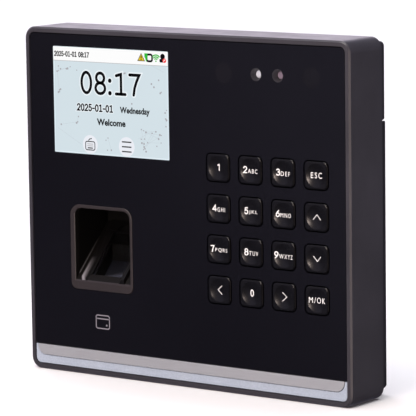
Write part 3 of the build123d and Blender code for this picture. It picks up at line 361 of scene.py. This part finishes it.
def clear_glass(name, color, rough):
    """Clear glass or acrylic with a film of fingerprints."""
    made, tree, shader, at = new_material(name)
    smears = noise(tree, scaled(tree, at, (1.0, 1.0, 0.35)), 1.6 * MM, 4.0, 0.7)
    tree.links.new(ramp(tree, smears, 0.45, 0.75, rough, rough + 0.05), shader.inputs["Roughness"])
    tint = blend_colors(tree, smears, color, shade(color, 0.9))
    tree.links.new(tint, shader.inputs["Base Color"])
    bump(tree, shader, smears, 0.002 * MM, 0.3)
    shader.inputs["Transmission Weight"].default_value = 1.0
    shader.inputs["IOR"].default_value = 1.5
    return made


def screen_paint(name, color):
    """One colour of the lit picture: fine pixel rows under the window's gloss."""
    made, tree, shader, at = new_material(name)
    rows = add_node(tree, "ShaderNodeTexWave", {"Vector": at}, Scale=1 / PIXEL_ROW, wave_type="BANDS",
                    bands_direction="Z")
    clouds = noise(tree, at, 25 * MM)
    drift = blend_colors(tree, clouds, shade(color, 1 - SCREEN_VARY), shade(color, 1 + SCREEN_VARY))
    row_mix = ramp(tree, rows.outputs["Fac"], 0.0, 1.0, 0.0, ROW_DEPTH)
    picture = blend_colors(tree, row_mix, drift, (0.0, 0.0, 0.0))
    tree.links.new(picture, shader.inputs["Emission Color"])
    shader.inputs["Emission Strength"].default_value = 1.0
    shader.inputs["Specular IOR Level"].default_value = 0.2
    dark = blend_colors(tree, clouds, (0.0008, 0.0008, 0.0010), (0.0012, 0.0012, 0.0014))
    tree.links.new(dark, shader.inputs["Base Color"])
    dust = noise(tree, at, 0.9 * MM, 5.0, 0.7)
    tree.links.new(ramp(tree, dust, 0.5, 0.85, 0.06, 0.16), shader.inputs["Roughness"])
    return made


def printed(name, color, painted_glow=0.0):
    """Screen-printed ink: slightly uneven cover on a satin key or on the panel; a nonzero emission strength
    makes it shine faintly as painted light.
    """
    made, tree, shader, at = new_material(name)
    cover = noise(tree, at, 0.25 * MM, 3.0)
    mixed = ramp(tree, cover, 0.25, 0.6, 0.0, 1.0)
    color_out = blend_colors(tree, mixed, shade(color, 0.86), color)
    tree.links.new(color_out, shader.inputs["Base Color"])
    # painted light: the ink's own colour shines by the given strength
    tree.links.new(color_out, shader.inputs["Emission Color"])
    shader.inputs["Emission Strength"].default_value = painted_glow
    tree.links.new(ramp(tree, cover, 0.2, 0.8, 0.42, 0.58), shader.inputs["Roughness"])
    bump(tree, shader, cover, 0.004 * MM, 0.5)
    return made


FINISHES = {
    "housing_plastic": moulded("housing_satin", (0.0345, 0.0325, 0.0405), 0.36),
    "cover_plastic": moulded("cover_satin", (0.010, 0.009, 0.014), 0.42),
    "panel_gloss": gloss_panel("panel_gloss"),
    "adhesive_foam": moulded("foam_tape", (0.018, 0.018, 0.018), 0.85, grain=0.6 * MM,
                             depth=0.12 * MM),
    "trim_metal": metal("trim_satin_metal", (0.40, 0.418, 0.448), 0.36, stretch=(0.02, 1, 1),
                        depth=0.0015 * MM, vary=0.03, metallic=0.35),
    "light_diffuser": milky_bar("light_guide"),
    "circuit_board": circuit("solder_mask"),
    "display_window": screen_paint("screen_ground", (0.662, 0.760, 0.810)),
    "lcd_steel": metal("display_frame_steel", (0.55, 0.55, 0.55), 0.32),
    "lcd_glass": moulded("display_glass", (0.05, 0.055, 0.06), 0.12, depth=0.001 * MM),
    "diffuser_white": moulded("white_diffuser", (0.78, 0.78, 0.74), 0.5),
    "ribbon_film": moulded("orange_film", (0.30, 0.14, 0.03), 0.3, grain=0.8 * MM, stretch=(8, 1, 1)),
    "camera_holder_plastic": moulded("camera_ring", (0.036, 0.035, 0.042), 0.36),
    # camera lens painted pale bluish white: a painted reflection that makes it look bright
    "lens_glass": moulded("lens_painted_reflection", (0.64, 0.67, 0.74), 0.10, depth=0.001 * MM),
    "lens_glass_ir": moulded("lens_dusky", (0.195, 0.155, 0.200), 0.10, depth=0.001 * MM),
    "ir_window": moulded("lamp_window", (0.0040, 0.0036, 0.0050), 0.08, depth=0.001 * MM),
    "silicone_mat": moulded("silicone", (0.055, 0.055, 0.060), 0.6),
    "key_rubber": key_finish("key_satin"),
    # bezel with painted shade on the parts that lie deeper than the front face, such as its sloping ledge
    "bezel_plastic": moulded("bezel_satin", (0.024, 0.019, 0.020), 0.34, painted_shade=(0.0060, 0.0052, 0.0050)),
    "well_plastic": well_matt("well_matt"),
    "frame_plastic": frame_with_painted_highlight("reader_frame"),
    "sensor_glass": clear_glass("reader_glass", (0.93, 0.95, 0.97), 0.0),
    "sensor_diffuser": moulded("reader_diffuser", (0.015, 0.017, 0.027), 0.45, specular=0.3),
    "screw_steel": metal("zinc_steel", (0.50, 0.50, 0.51), 0.33),
    "chip_plastic": moulded("chip_black", (0.016, 0.016, 0.017), 0.5),
    "jack_metal": metal("nickel_sheet", (0.62, 0.61, 0.59), 0.25),
    "terminal_plastic": moulded("terminal_green", (0.020, 0.170, 0.055), 0.42),
    "speaker_plastic": moulded("speaker_black", (0.020, 0.020, 0.021), 0.55),
    "plunger_plastic": moulded("plunger_white", (0.66, 0.66, 0.63), 0.45),
    "plate_steel": moulded("powder_coat", (0.011, 0.010, 0.015), 0.48, grain=0.7 * MM, depth=0.03 * MM),
}

for entry in frame["record"]["subparts"]:
    mesh = nodes[entry["node"]].data
    mesh.materials.clear()
    mesh.materials.append(FINISHES[entry["material_slot"]])


# ---- thin printed pieces ----

# legend ink that shines faintly: painted light that brightens the legends
INK = printed("legend_ink", (0.84, 0.84, 0.83), 0.06)
ICON_INK = printed("icon_ink", (0.20, 0.19, 0.22))


def lettering(text, width, height, center, bold=0.0, spacing=1.0):
    """Outline triangles of a line of text, fitted to a size and centred on (x, z)."""
    curve = bpy.data.curves.new("text", "FONT")
    curve.body = text
    curve.offset = bold
    curve.space_character = spacing
    curve.resolution_u = 4
    holder = bpy.data.objects.new("text", curve)
    bpy.context.scene.collection.objects.link(holder)
    graph = bpy.context.evaluated_depsgraph_get()
    flat = bpy.data.meshes.new_from_object(holder.evaluated_get(graph))
    xs = [v.co.x for v in flat.vertices]
    ys = [v.co.y for v in flat.vertices]
    left, low = min(xs), min(ys)
    across = width / (max(xs) - left)
    up = height / (max(ys) - low)
    shapes = []
    for face in flat.polygons:
        corners = [flat.vertices[i].co for i in face.vertices]
        shapes.append([
            (center[0] - width / 2 + (c.x - left) * across, center[1] - height / 2 + (c.y - low) * up)
            for c in corners
        ])
    bpy.data.objects.remove(holder)
    bpy.data.curves.remove(curve)
    bpy.data.meshes.remove(flat)
    return shapes


def disc(center, radius, steps=40):
    """A filled round shape, as a list that holds its one outline."""
    angles = [2 * math.pi * i / steps for i in range(steps)]
    return [[(center[0] + radius * math.cos(a), center[1] + radius * math.sin(a)) for a in angles]]


def rounded(center, width, height, radius, steps=8):
    """Corner points of a rounded rectangle, anticlockwise."""
    points = []
    corners = ((1, 1, 0), (-1, 1, 90), (-1, -1, 180), (1, -1, 270))
    for side_x, side_z, start in corners:
        for i in range(steps + 1):
            a = math.radians(start + 90 * i / steps)
            points.append((
                center[0] + side_x * (width / 2 - radius) + radius * math.cos(a),
                center[1] + side_z * (height / 2 - radius) + radius * math.sin(a),
            ))
    return points


def stroke(points, width, closed=False):
    """Quads along a line of points, with mitred corners."""
    count = len(points)
    sides = []
    for i, point in enumerate(points):
        before = points[i - 1] if i or closed else None
        after = points[(i + 1) % count] if i < count - 1 or closed else None
        here = Vector(point)
        ways = []
        if before is not None:
            ways.append((here - Vector(before)).normalized())
        if after is not None:
            ways.append((Vector(after) - here).normalized())
        way = (ways[0] + ways[-1]).normalized()
        normal = Vector((-way.y, way.x))
        reach = width / 2 / max(0.4, abs(way.dot(ways[0])))
        sides.append((tuple(here + normal * reach), tuple(here - normal * reach)))
    last = count if closed else count - 1
    return [
        [sides[i][0], sides[i][1], sides[(i + 1) % count][1], sides[(i + 1) % count][0]]
        for i in range(last)
    ]


def oval(center, half_w, half_h, start=0, end=360, steps=20):
    """Points of an oval, or of a part of it between two angles in degrees."""
    angles = [math.radians(start + (end - start) * i / steps) for i in range(steps + 1)]
    return [(center[0] + half_w * math.cos(a), center[1] + half_h * math.sin(a)) for a in angles]


# Figures drawn with a pen in a cell one unit high: cell width, then the pen's lines
SIX = (oval((0.30, 0.31), 0.29, 0.31), ((0.50, 1.0), (0.24, 0.80), (0.06, 0.52), (0.01, 0.31)))
FIGURES = {
    "0": (0.60, (oval((0.30, 0.49), 0.30, 0.52, steps=32),)),
    "1": (0.36, (((0.0, 0.84), (0.34, 1.0), (0.34, 0.0)),)),
    "2": (0.58, (oval((0.29, 0.71), 0.28, 0.29, 168, -34, 14) + [(0.0, 0.0), (0.58, 0.0)],)),
    "3": (0.58, (
        oval((0.27, 0.76), 0.25, 0.24, 155, -90, 14),
        oval((0.27, 0.26), 0.30, 0.26, 90, -155, 14),
    )),
    "4": (0.62, (((0.47, 0.0), (0.47, 1.0), (0.0, 0.27), (0.62, 0.27)),)),
    "5": (0.58, (
        [(0.54, 1.0), (0.12, 1.0), (0.06, 0.54)] + oval((0.27, 0.32), 0.30, 0.32, 125, -150, 14),
    )),
    "6": (0.60, SIX),
    "7": (0.60, (((0.0, 1.0), (0.60, 1.0), (0.44, 0.70), (0.30, 0.34), (0.24, 0.0)),)),
    "8": (0.60, (oval((0.30, 0.76), 0.25, 0.25), oval((0.30, 0.24), 0.30, 0.27))),
    "9": (0.60, [[(0.60 - x, 1.0 - z) for x, z in line] for line in SIX]),
    "-": (0.34, (((0.0, 0.42), (0.34, 0.42)),)),
    " ": (0.25, ()),
    ":": (0.10, ()),
}
FOOTED_ONE = (0.60, (((0.04, 0.92), (0.34, 1.0), (0.34, 0.0)), ((0.02, 0.0), (0.60, 0.0))))
COLON_DOTS = ((0.02, 0.02), (0.02, 0.65))
FIGURE_GAP = 0.29


def figures(text, width, height, center, weight, footed=False, grow=0.0):
    """Figures drawn with a round pen, fitted to a size; grow widens the pen for a halo."""
    cells = [FOOTED_ONE if footed and c == "1" else FIGURES[c] for c in text]
    total = sum(cell[0] for cell in cells) + FIGURE_GAP * (len(cells) - 1)
    across, up = (width - weight) / max(total, 0.01), height - weight
    left, low = center[0] - width / 2 + weight / 2, center[1] - height / 2 + weight / 2
    pen = weight + grow
    shapes = []
    for character, (cell, lines) in zip(text, cells):
        for line in lines:
            placed = [(left + x * across, low + z * up) for x, z in line]
            closed = math.dist(placed[0], placed[-1]) < 0.01 * weight
            shapes += stroke(placed[:-1] if closed else placed, pen, closed)
            if not closed:
                shapes += disc(placed[0], pen / 2, 16) + disc(placed[-1], pen / 2, 16)
        if character == ":":
            for x, z in COLON_DOTS:
                shapes += disc((left + x * across, low + z * up), 0.72 * weight + grow / 2, 24)
        left += (cell + FIGURE_GAP) * across
    return shapes


def surface_of(node):
    """Search tree of a CAD node, to lay flat shapes on it."""
    made = bmesh.new()
    made.from_mesh(nodes[node].data)
    tree = BVHTree.FromBMesh(made)
    made.free()
    return tree


SUNK = 0.05 * MM        # how deep the back of a thin piece lies in the surface under it
WELD = 0.0005 * MM
IN_FRONT = 10 * MM


def lay_on(name, shapes, node, paint, body, lift=0.02 * MM):
    """A thin closed piece of the given shapes, laid on the front of a CAD node."""
    tree = surface_of(node)
    made = bmesh.new()
    for shape in shapes:
        corners = [made.verts.new((x, 0.0, z)) for x, z in shape]
        made.faces.new(corners)
    bmesh.ops.remove_doubles(made, verts=made.verts[:], dist=WELD)
    bmesh.ops.triangulate(made, faces=[f for f in made.faces if len(f.verts) > 4])
    bmesh.ops.recalc_face_normals(made, faces=made.faces[:])
    front = made.faces[:]
    grown = bmesh.ops.extrude_face_region(made, geom=front)
    back = {v for v in grown["geom"] if isinstance(v, bmesh.types.BMVert)}
    in_front = cad_low.y - IN_FRONT
    for vertex in made.verts:
        hit = tree.ray_cast(Vector((vertex.co.x, in_front, vertex.co.z)), Vector((0, 1, 0)))[0]
        depth = hit.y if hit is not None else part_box(node)[0].y
        vertex.co.y = depth + SUNK if vertex in back else depth - lift
    bmesh.ops.recalc_face_normals(made, faces=made.faces[:])
    mesh = bpy.data.meshes.new(name)
    made.to_mesh(mesh)
    made.free()
    mesh.materials.append(paint)
    piece = bpy.data.objects.new(name, mesh)
    bpy.context.scene.collection.objects.link(piece)
    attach(piece, body)


# ---- key legends ----

DIGIT_H = 2.9 * MM
DIGIT_LIFT = 0.15 * MM
LETTER_H = 1.8 * MM
WORD_H = 2.4 * MM
LETTER_SPACING = 1.3
DIGIT_PEN = 0.43 * MM

# digit, its width in millimetres, letters and their width
DIGIT_KEYS = {
    "key_1": ("1", 1.2, "", 0.0),
    "key_2": ("2", 1.8, "ABC", 5.0),
    "key_3": ("3", 1.75, "DEF", 4.7),
    "key_4": ("4", 2.0, "GHI", 4.1),
    "key_5": ("5", 1.8, "JKL", 4.4),
    "key_6": ("6", 1.8, "MNO", 5.4),
    "key_7": ("7", 1.75, "PQRS", 6.4),
    "key_8": ("8", 1.85, "TUV", 4.8),
    "key_9": ("9", 1.85, "WXYZ", 7.0),
    "key_0": ("0", 1.75, "", 0.0),
}
# word and its width in millimetres
WORD_KEYS = {"key_esc": ("ESC", 5.4), "key_ok": ("M/OK", 7.9)}
# turn of the arrow head from pointing up
CHEVRON_KEYS = {"key_up": 0, "key_left": 90, "key_down": 180, "key_right": 270}
CHEVRON_HALF = 1.85 * MM
CHEVRON_RISE = 1.05 * MM
CHEVRON_STROKE = 0.25 * MM
LETTER_GAP = 0.3 * MM


def key_centre(name):
    low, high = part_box(name)
    return ((low.x + high.x) / 2, (low.z + high.z) / 2)


def digit_legend(center, digit, digit_width, letters, letters_width):
    """A digit with its small letters on its right, centred together on the key."""
    gap = LETTER_GAP if letters else 0.0
    total = (digit_width + letters_width) * MM + gap
    left = center[0] - total / 2
    digit_at = (left + digit_width * MM / 2, center[1] + DIGIT_LIFT)
    shapes = figures(digit, digit_width * MM, DIGIT_H, digit_at, DIGIT_PEN)
    if letters:
        low = digit_at[1] - DIGIT_H / 2
        letters_at = (center[0] + total / 2 - letters_width * MM / 2, low + LETTER_H / 2)
        shapes += lettering(letters, letters_width * MM, LETTER_H, letters_at, spacing=LETTER_SPACING)
    return shapes


def chevron(center, turn):
    """An open arrow head; turn is in degrees from pointing up."""
    c, s = math.cos(math.radians(turn)), math.sin(math.radians(turn))
    points = ((-CHEVRON_HALF, -CHEVRON_RISE), (0, CHEVRON_RISE), (CHEVRON_HALF, -CHEVRON_RISE))
    placed = [(center[0] + x * c - z * s, center[1] + x * s + z * c) for x, z in points]
    return stroke(placed, CHEVRON_STROKE)


for key, legend in DIGIT_KEYS.items():
    lay_on("legend_" + key, digit_legend(key_centre(key), *legend), key, INK, key + "_body")
for key, (word, word_width) in WORD_KEYS.items():
    shapes = lettering(word, word_width * MM, WORD_H, key_centre(key), spacing=LETTER_SPACING)
    lay_on("legend_" + key, shapes, key, INK, key + "_body")
for key, turn in CHEVRON_KEYS.items():
    lay_on("legend_" + key, chevron(key_centre(key), turn), key, INK, key + "_body")


# ---- card reader mark on the panel ----

CARD = (7.2 * MM, 5.7 * MM)
CARD_DROP = 13.3 * MM       # from the finger bezel's lower edge down to the mark's middle
CARD_PEN = 0.5 * MM
CARD_CORNER = 0.9 * MM
CARD_LINE = 1.35 * MM       # stripe above the middle, and dot as far below it
CARD_DOT = (2.1 * MM, 0.42 * MM)    # its distance to the right of the middle, and its radius


def card_mark():
    """A card with its stripe and a dot, where cards are held to the panel."""
    bezel_low, bezel_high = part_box("finger_bezel")
    center = ((bezel_low.x + bezel_high.x) / 2, bezel_low.z - CARD_DROP)
    shapes = stroke(rounded(center, *CARD, CARD_CORNER), CARD_PEN, closed=True)
    line_z = center[1] + CARD_LINE
    shapes += stroke(((center[0] - CARD[0] / 2, line_z), (center[0] + CARD[0] / 2, line_z)), CARD_PEN)
    shapes += disc((center[0] + CARD_DOT[0], center[1] - CARD_LINE), CARD_DOT[1], 16)
    lay_on("card_mark", shapes, "front_panel", ICON_INK, "terminal", lift=0.01 * MM)


card_mark()


# ---- picture on the screen ----

screen_low, screen_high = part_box("display_window")
SCREEN_MID = ((screen_low.x + screen_high.x) / 2, (screen_low.z + screen_high.z) / 2)
SCREEN_W = screen_high.x - screen_low.x
SCREEN_H = screen_high.z - screen_low.z

SCREEN_PAINTS = {
    "white": screen_paint("screen_white", (1.0, 1.0, 1.0)),
    "halo": screen_paint("screen_halo", (0.88, 0.94, 0.98)),
    "button": screen_paint("screen_button", (0.84, 0.86, 0.92)),
    "black": screen_paint("screen_black", (0.0004, 0.0004, 0.0004)),
    "grey": screen_paint("screen_grey", (0.050, 0.050, 0.050)),
    "pale_grey": screen_paint("screen_pale_grey", (0.50, 0.50, 0.51)),
    "dots": screen_paint("screen_dots", (0.42, 0.42, 0.45)),
    "links": screen_paint("screen_links", (0.56, 0.62, 0.67)),
    "edge": screen_paint("screen_edge", (0.76, 0.86, 0.93)),
    "yellow": screen_paint("screen_yellow", (0.76, 0.54, 0.02)),
    "green": screen_paint("screen_green", (0.03, 0.50, 0.04)),
    "red": screen_paint("screen_red", (0.90, 0.06, 0.06)),
}
LAYER = 0.012 * MM

# the rest of the picture is laid out in millimetres from the middle of the screen
PICTURE_INSET = 0.1
STATUS_H = 5.8
STATUS_LINE = 0.25
SIGNS_Z = 19.8
EDGE = 0.5
THIN_LINK = 0.12
DOT_R = (0.26, 0.48)
LINK_SHARE = 0.45
LEFT_BUTTON = (-11.3, -18.5)
RIGHT_BUTTON = (8.3, -18.4)
MENU_BAR = (2.55, 0.28)     # half length and half height
MENU_PITCH = 2.05


def screen_point(x, z):
    """A point given in millimetres from the middle of the screen."""
    return (SCREEN_MID[0] + x * MM, SCREEN_MID[1] + z * MM)


def show(name, shapes, paint, layer):
    """A part of the picture; a higher layer lies in front of a lower one."""
    lay_on("screen_" + name, shapes, "display_window", SCREEN_PAINTS[paint], "terminal", lift=layer * LAYER)


def screen_text(text, width, height, x, z, bold):
    """Lettering of a size and place in millimetres, made bolder by an offset of its outline."""
    return lettering(text, width * MM, height * MM, screen_point(x, z), bold)


def block(x_low, x_high, z_low, z_high):
    """An upright rectangle of the picture, in millimetres."""
    return [[screen_point(x_low, z_low), screen_point(x_high, z_low), screen_point(x_high, z_high),
             screen_point(x_low, z_high)]]


def screen_ground():
    """Status bar, bright edges and a loose net of dots and links."""
    half_w, half_h = SCREEN_W / MM / 2 - PICTURE_INSET, SCREEN_H / MM / 2 - PICTURE_INSET
    bar_low = half_h - STATUS_H
    show("status_bar", block(-half_w, half_w, bar_low, half_h), "white", 2)
    show("status_line", block(-half_w, half_w, bar_low - STATUS_LINE, bar_low), "pale_grey", 2)
    sides = block(-half_w, -half_w + EDGE, -half_h, bar_low - STATUS_LINE)
    sides += block(half_w - EDGE, half_w, -half_h, bar_low - STATUS_LINE)
    sides += block(-half_w + EDGE, half_w - EDGE, -half_h, -half_h + EDGE)
    show("edges", sides, "edge", 1)
    # clusters of dots: centre, spread and number
    rng = random.Random(11)
    clusters = (((-23, 13), (6.0, 2.0), 7), ((-28, 4), (1.5, 8.0), 5), ((-22, -9), (5.0, 3.0), 4),
                ((-1, -18), (2.0, 3.0), 4), ((21, -15.5), (6.0, 5.0), 20), ((20, 9), (7.0, 4.0), 5),
                ((29, -7), (0.8, 7.0), 5), ((6, 14), (3.0, 1.5), 2), ((11, 0), (1.0, 1.0), 1))
    dots, links = [], []
    for (x, z), (spread_x, spread_z), number in clusters:
        places = [
            (x + rng.uniform(-1, 1) * spread_x, z + rng.uniform(-1, 1) * spread_z) for _ in range(number)
        ]
        for i, place in enumerate(places):
            dots += disc(screen_point(*place), rng.uniform(*DOT_R) * MM, 14)
            if i and rng.random() < LINK_SHARE:
                links += stroke((screen_point(*places[i - 1]), screen_point(*place)), THIN_LINK * MM)
    for start, end in (
        ((-28.8, -12.2), (-16.0, -18.8)),
        ((22.5, 16.4), (28.4, 14.1)),
        ((14.6, -14.6), (21.7, -11.2)),
    ):
        links += stroke((screen_point(*start), screen_point(*end)), THIN_LINK * MM)
    show("dots", dots, "dots", 2)
    show("links", links, "links", 1)


def screen_words():
    """Time, date, day and greeting, with pale halos behind the figures."""
    for name, text, width, height, x, z, pen, halo in (
        ("status", "2025-01-01 08:17", 19.0, 2.3, -20.6, 19.6, 0.41, 0.0),
        ("time", "08:17", 32.2, 9.7, 0.1, 7.95, 1.32, 1.1),
        ("date", "2025-01-01", 19.5, 3.25, -8.4, -2.75, 0.62, 0.6),
    ):
        place = screen_point(x, z)
        size = (width * MM, height * MM)
        if halo:
            back = figures(text, *size, place, pen * MM, footed=True, grow=halo * MM)
            show(name + "_halo", back, "halo", 3)
        show(name, figures(text, *size, place, pen * MM, footed=True), "black", 5)
    show("day", screen_text("Wednesday", 15.8, 3.5, 12.9, -3.3, 0.030), "black", 5)
    show("greeting", screen_text("Welcome", 15.3, 2.9, 0.2, -8.6, 0.032), "black", 5)


def screen_buttons():
    """Two round buttons: key entry and menu."""
    left, right = screen_point(*LEFT_BUTTON), screen_point(*RIGHT_BUTTON)
    show("button_left", disc(left, 4.0 * MM), "button", 3)
    show("button_right", disc(right, 4.15 * MM), "button", 3)
    x, middle = RIGHT_BUTTON
    bars = []
    for step in (-1, 0, 1):
        z = middle + step * MENU_PITCH
        bars += block(x - MENU_BAR[0], x + MENU_BAR[0], z - MENU_BAR[1], z + MENU_BAR[1])
    show("menu_bars", bars, "grey", 4)
    case = (left[0], left[1] - 0.55 * MM)
    outline = stroke(rounded(case, 5.0 * MM, 3.6 * MM, 0.8 * MM), 0.42 * MM, closed=True)
    handle = (screen_point(-12.3, -16.9), screen_point(-11.6, -16.2), screen_point(-10.4, -15.9))
    outline += stroke(handle, 0.4 * MM)
    outline += block(-12.7, -9.9, -20.25, -19.75)
    show("key_entry", outline, "grey", 4)
    rows = block(-12.9, -9.7, -18.5, -18.1) + block(-12.9, -9.7, -19.3, -18.9)
    show("key_entry_rows", rows, "pale_grey", 4)


def status_marks():
    """Small signs at the right of the status bar: warning, terminal, radio and network."""
    z = SIGNS_Z
    rim = [screen_point(14.7, z - 1.6), screen_point(18.8, z - 1.6), screen_point(16.75, z + 1.9)]
    show("sign_warning_rim", [rim], "grey", 3)
    triangle = [[screen_point(15.2, z - 1.3), screen_point(18.3, z - 1.3), screen_point(16.75, z + 1.35)]]
    show("sign_warning", triangle, "yellow", 4)
    mark = block(16.5, 17.0, z - 0.35, z + 0.7) + block(16.5, 17.0, z - 1.05, z - 0.65)
    show("sign_warning_mark", mark, "black", 5)
    device = screen_point(21.1, z - 0.05)
    case = stroke(rounded(device, 2.8 * MM, 2.8 * MM, 0.8 * MM), 0.85 * MM, closed=True)
    show("sign_device", case, "black", 4)
    flag = block(18.5, 20.1, z + 0.1, z + 1.8)
    flag += [[screen_point(18.7, z + 0.1), screen_point(19.5, z - 1.9), screen_point(20.1, z + 0.1)]]
    show("sign_flag", flag, "green", 5)
    fan_foot = screen_point(24.5, z - 1.3)
    fan = disc(fan_foot, 0.35 * MM, 14)
    for radius in (1.0, 1.8, 2.6):
        fan += stroke(oval(fan_foot, radius * MM, radius * MM, 42, 138, 10), 0.55 * MM)
    show("sign_radio", fan, "green", 4)
    head = screen_point(28.0, z + 0.75)
    person = disc(head, 1.2 * MM, 20)
    person += [rounded(screen_point(27.9, z - 0.95), 3.0 * MM, 1.5 * MM, 0.5 * MM)]
    show("sign_link", person, "black", 4)
    show("sign_link_off", disc(screen_point(28.9, z - 0.9), 0.95 * MM, 20), "red", 5)
    slash = ((28.4, z - 1.2), (29.4, z - 0.3))
    show("sign_link_slash", stroke([screen_point(*p) for p in slash], 0.3 * MM), "white", 6)


screen_ground()
screen_words()
screen_buttons()
status_marks()


# ---- studio ----

FLOOR_RADIUS = 12.0
LIGHT_DISTANCE = 1.1
WARM = (1.0, 0.83, 0.74)
WARMER = (1.0, 0.80, 0.70)
ROOM_COOL = (0.84, 0.80, 1.08)
ROOM_BRIGHT = (0.94, 0.85, 0.99)
WHITE = (1.0, 1.0, 1.0, 1.0)


def make_floor():
    """A wide pale disc at the level of the terminal's lower edge."""
    mesh = bpy.data.meshes.new("floor")
    made = bmesh.new()
    bmesh.ops.create_circle(made, cap_ends=True, segments=96, radius=FLOOR_RADIUS)
    made.to_mesh(mesh)
    made.free()
    floor = bpy.data.objects.new("floor", mesh)
    bpy.context.scene.collection.objects.link(floor)
    floor.location = (0, 0, cad_low.z)
    paint, tree, shader, at = new_material("pale_floor")
    color = blend_colors(tree, noise(tree, at, 0.5), (0.88, 0.88, 0.88), (0.90, 0.90, 0.90))
    tree.links.new(color, shader.inputs["Base Color"])
    shader.inputs["Roughness"].default_value = 0.9
    shader.inputs["Specular IOR Level"].default_value = 0.1
    mesh.materials.append(paint)
    floor.visible_glossy = False
    floor.visible_shadow = False


def area_light(name, azimuth, elevation, width, height, power, color):
    """A softbox that faces the terminal. Azimuth 0 is in front of it, 90 to its right."""
    data = bpy.data.lights.new(name, "AREA")
    data.shape = "RECTANGLE"
    data.size = width
    data.size_y = height
    data.energy = power
    data.color = color
    light = bpy.data.objects.new(name, data)
    bpy.context.scene.collection.objects.link(light)
    a, e = math.radians(azimuth), math.radians(elevation)
    way = Vector((math.sin(a) * math.cos(e), -math.cos(a) * math.cos(e), math.sin(e)))
    light.location = way * LIGHT_DISTANCE
    light.rotation_mode = "QUATERNION"
    light.rotation_quaternion = way.to_track_quat("Z", "Y")
    light.visible_camera = False


def top_sun(strength, angle):
    """Even light from straight above, which keeps the floor pale."""
    data = bpy.data.lights.new("top_sun", "SUN")
    data.energy = strength
    data.angle = math.radians(angle)
    sun = bpy.data.objects.new("top_sun", data)
    bpy.context.scene.collection.objects.link(sun)


def make_world():
    """White to the camera; to the object a dim room, lit up behind it on its left."""
    world = bpy.data.worlds.new("studio")
    bpy.context.scene.world = world
    world.use_nodes = True
    tree = world.node_tree
    tree.nodes.clear()
    way = axes(tree, tree.nodes.new("ShaderNodeTexCoord").outputs["Generated"])
    # in front: a slanting rise of light, which falls off again to the right
    slant = maths(tree, "ADD", way["X"], maths(tree, "MULTIPLY", way["Z"], 0.8))
    rising = ramp(tree, slant, -0.72, -0.56, 0.13, 0.40)
    falling = ramp(tree, way["X"], -0.48, -0.20, 1.0, 0.30)
    front = maths(tree, "MULTIPLY", rising, falling)
    # behind: bright on the left, dim below the horizon
    side = ramp(tree, way["X"], -0.54, -0.20, 1.75, 0.20)
    low = ramp(tree, way["Z"], -0.10, 0.08, 0.25, 1.0)
    back = maths(tree, "MULTIPLY", side, low)
    where = ramp(tree, way["Y"], -0.10, 0.30, 0.0, 1.0)
    level = add_node(tree, "ShaderNodeMix", {0: where, 2: front, 3: back}).outputs[0]
    tint = blend_colors(tree, ramp(tree, level, 0.4, 1.4, 0.0, 1.0), ROOM_COOL, ROOM_BRIGHT)
    room = add_node(tree, "ShaderNodeBackground", {"Strength": level, "Color": tint})
    white = add_node(tree, "ShaderNodeBackground", Color=WHITE, Strength=1.0)
    seen = tree.nodes.new("ShaderNodeLightPath").outputs["Is Camera Ray"]
    mixed = add_node(tree, "ShaderNodeMixShader", {0: seen, 1: room.outputs[0], 2: white.outputs[0]})
    output = tree.nodes.new("ShaderNodeOutputWorld")
    tree.links.new(mixed.outputs[0], output.inputs["Surface"])


make_floor()
make_world()
area_light("front_softbox", 1, 12, 0.20, 0.36, 5.6, WARM)
area_light("high_softbox", 0, 50, 0.6, 0.6, 4.0, WARM)
area_light("right_strip", 53, -4, 0.12, 1.0, 2.7, WARMER)
top_sun(2.7, 60)
bpy.context.scene.view_settings.view_transform = "Standard"
bpy.context.scene.view_settings.look = "None"
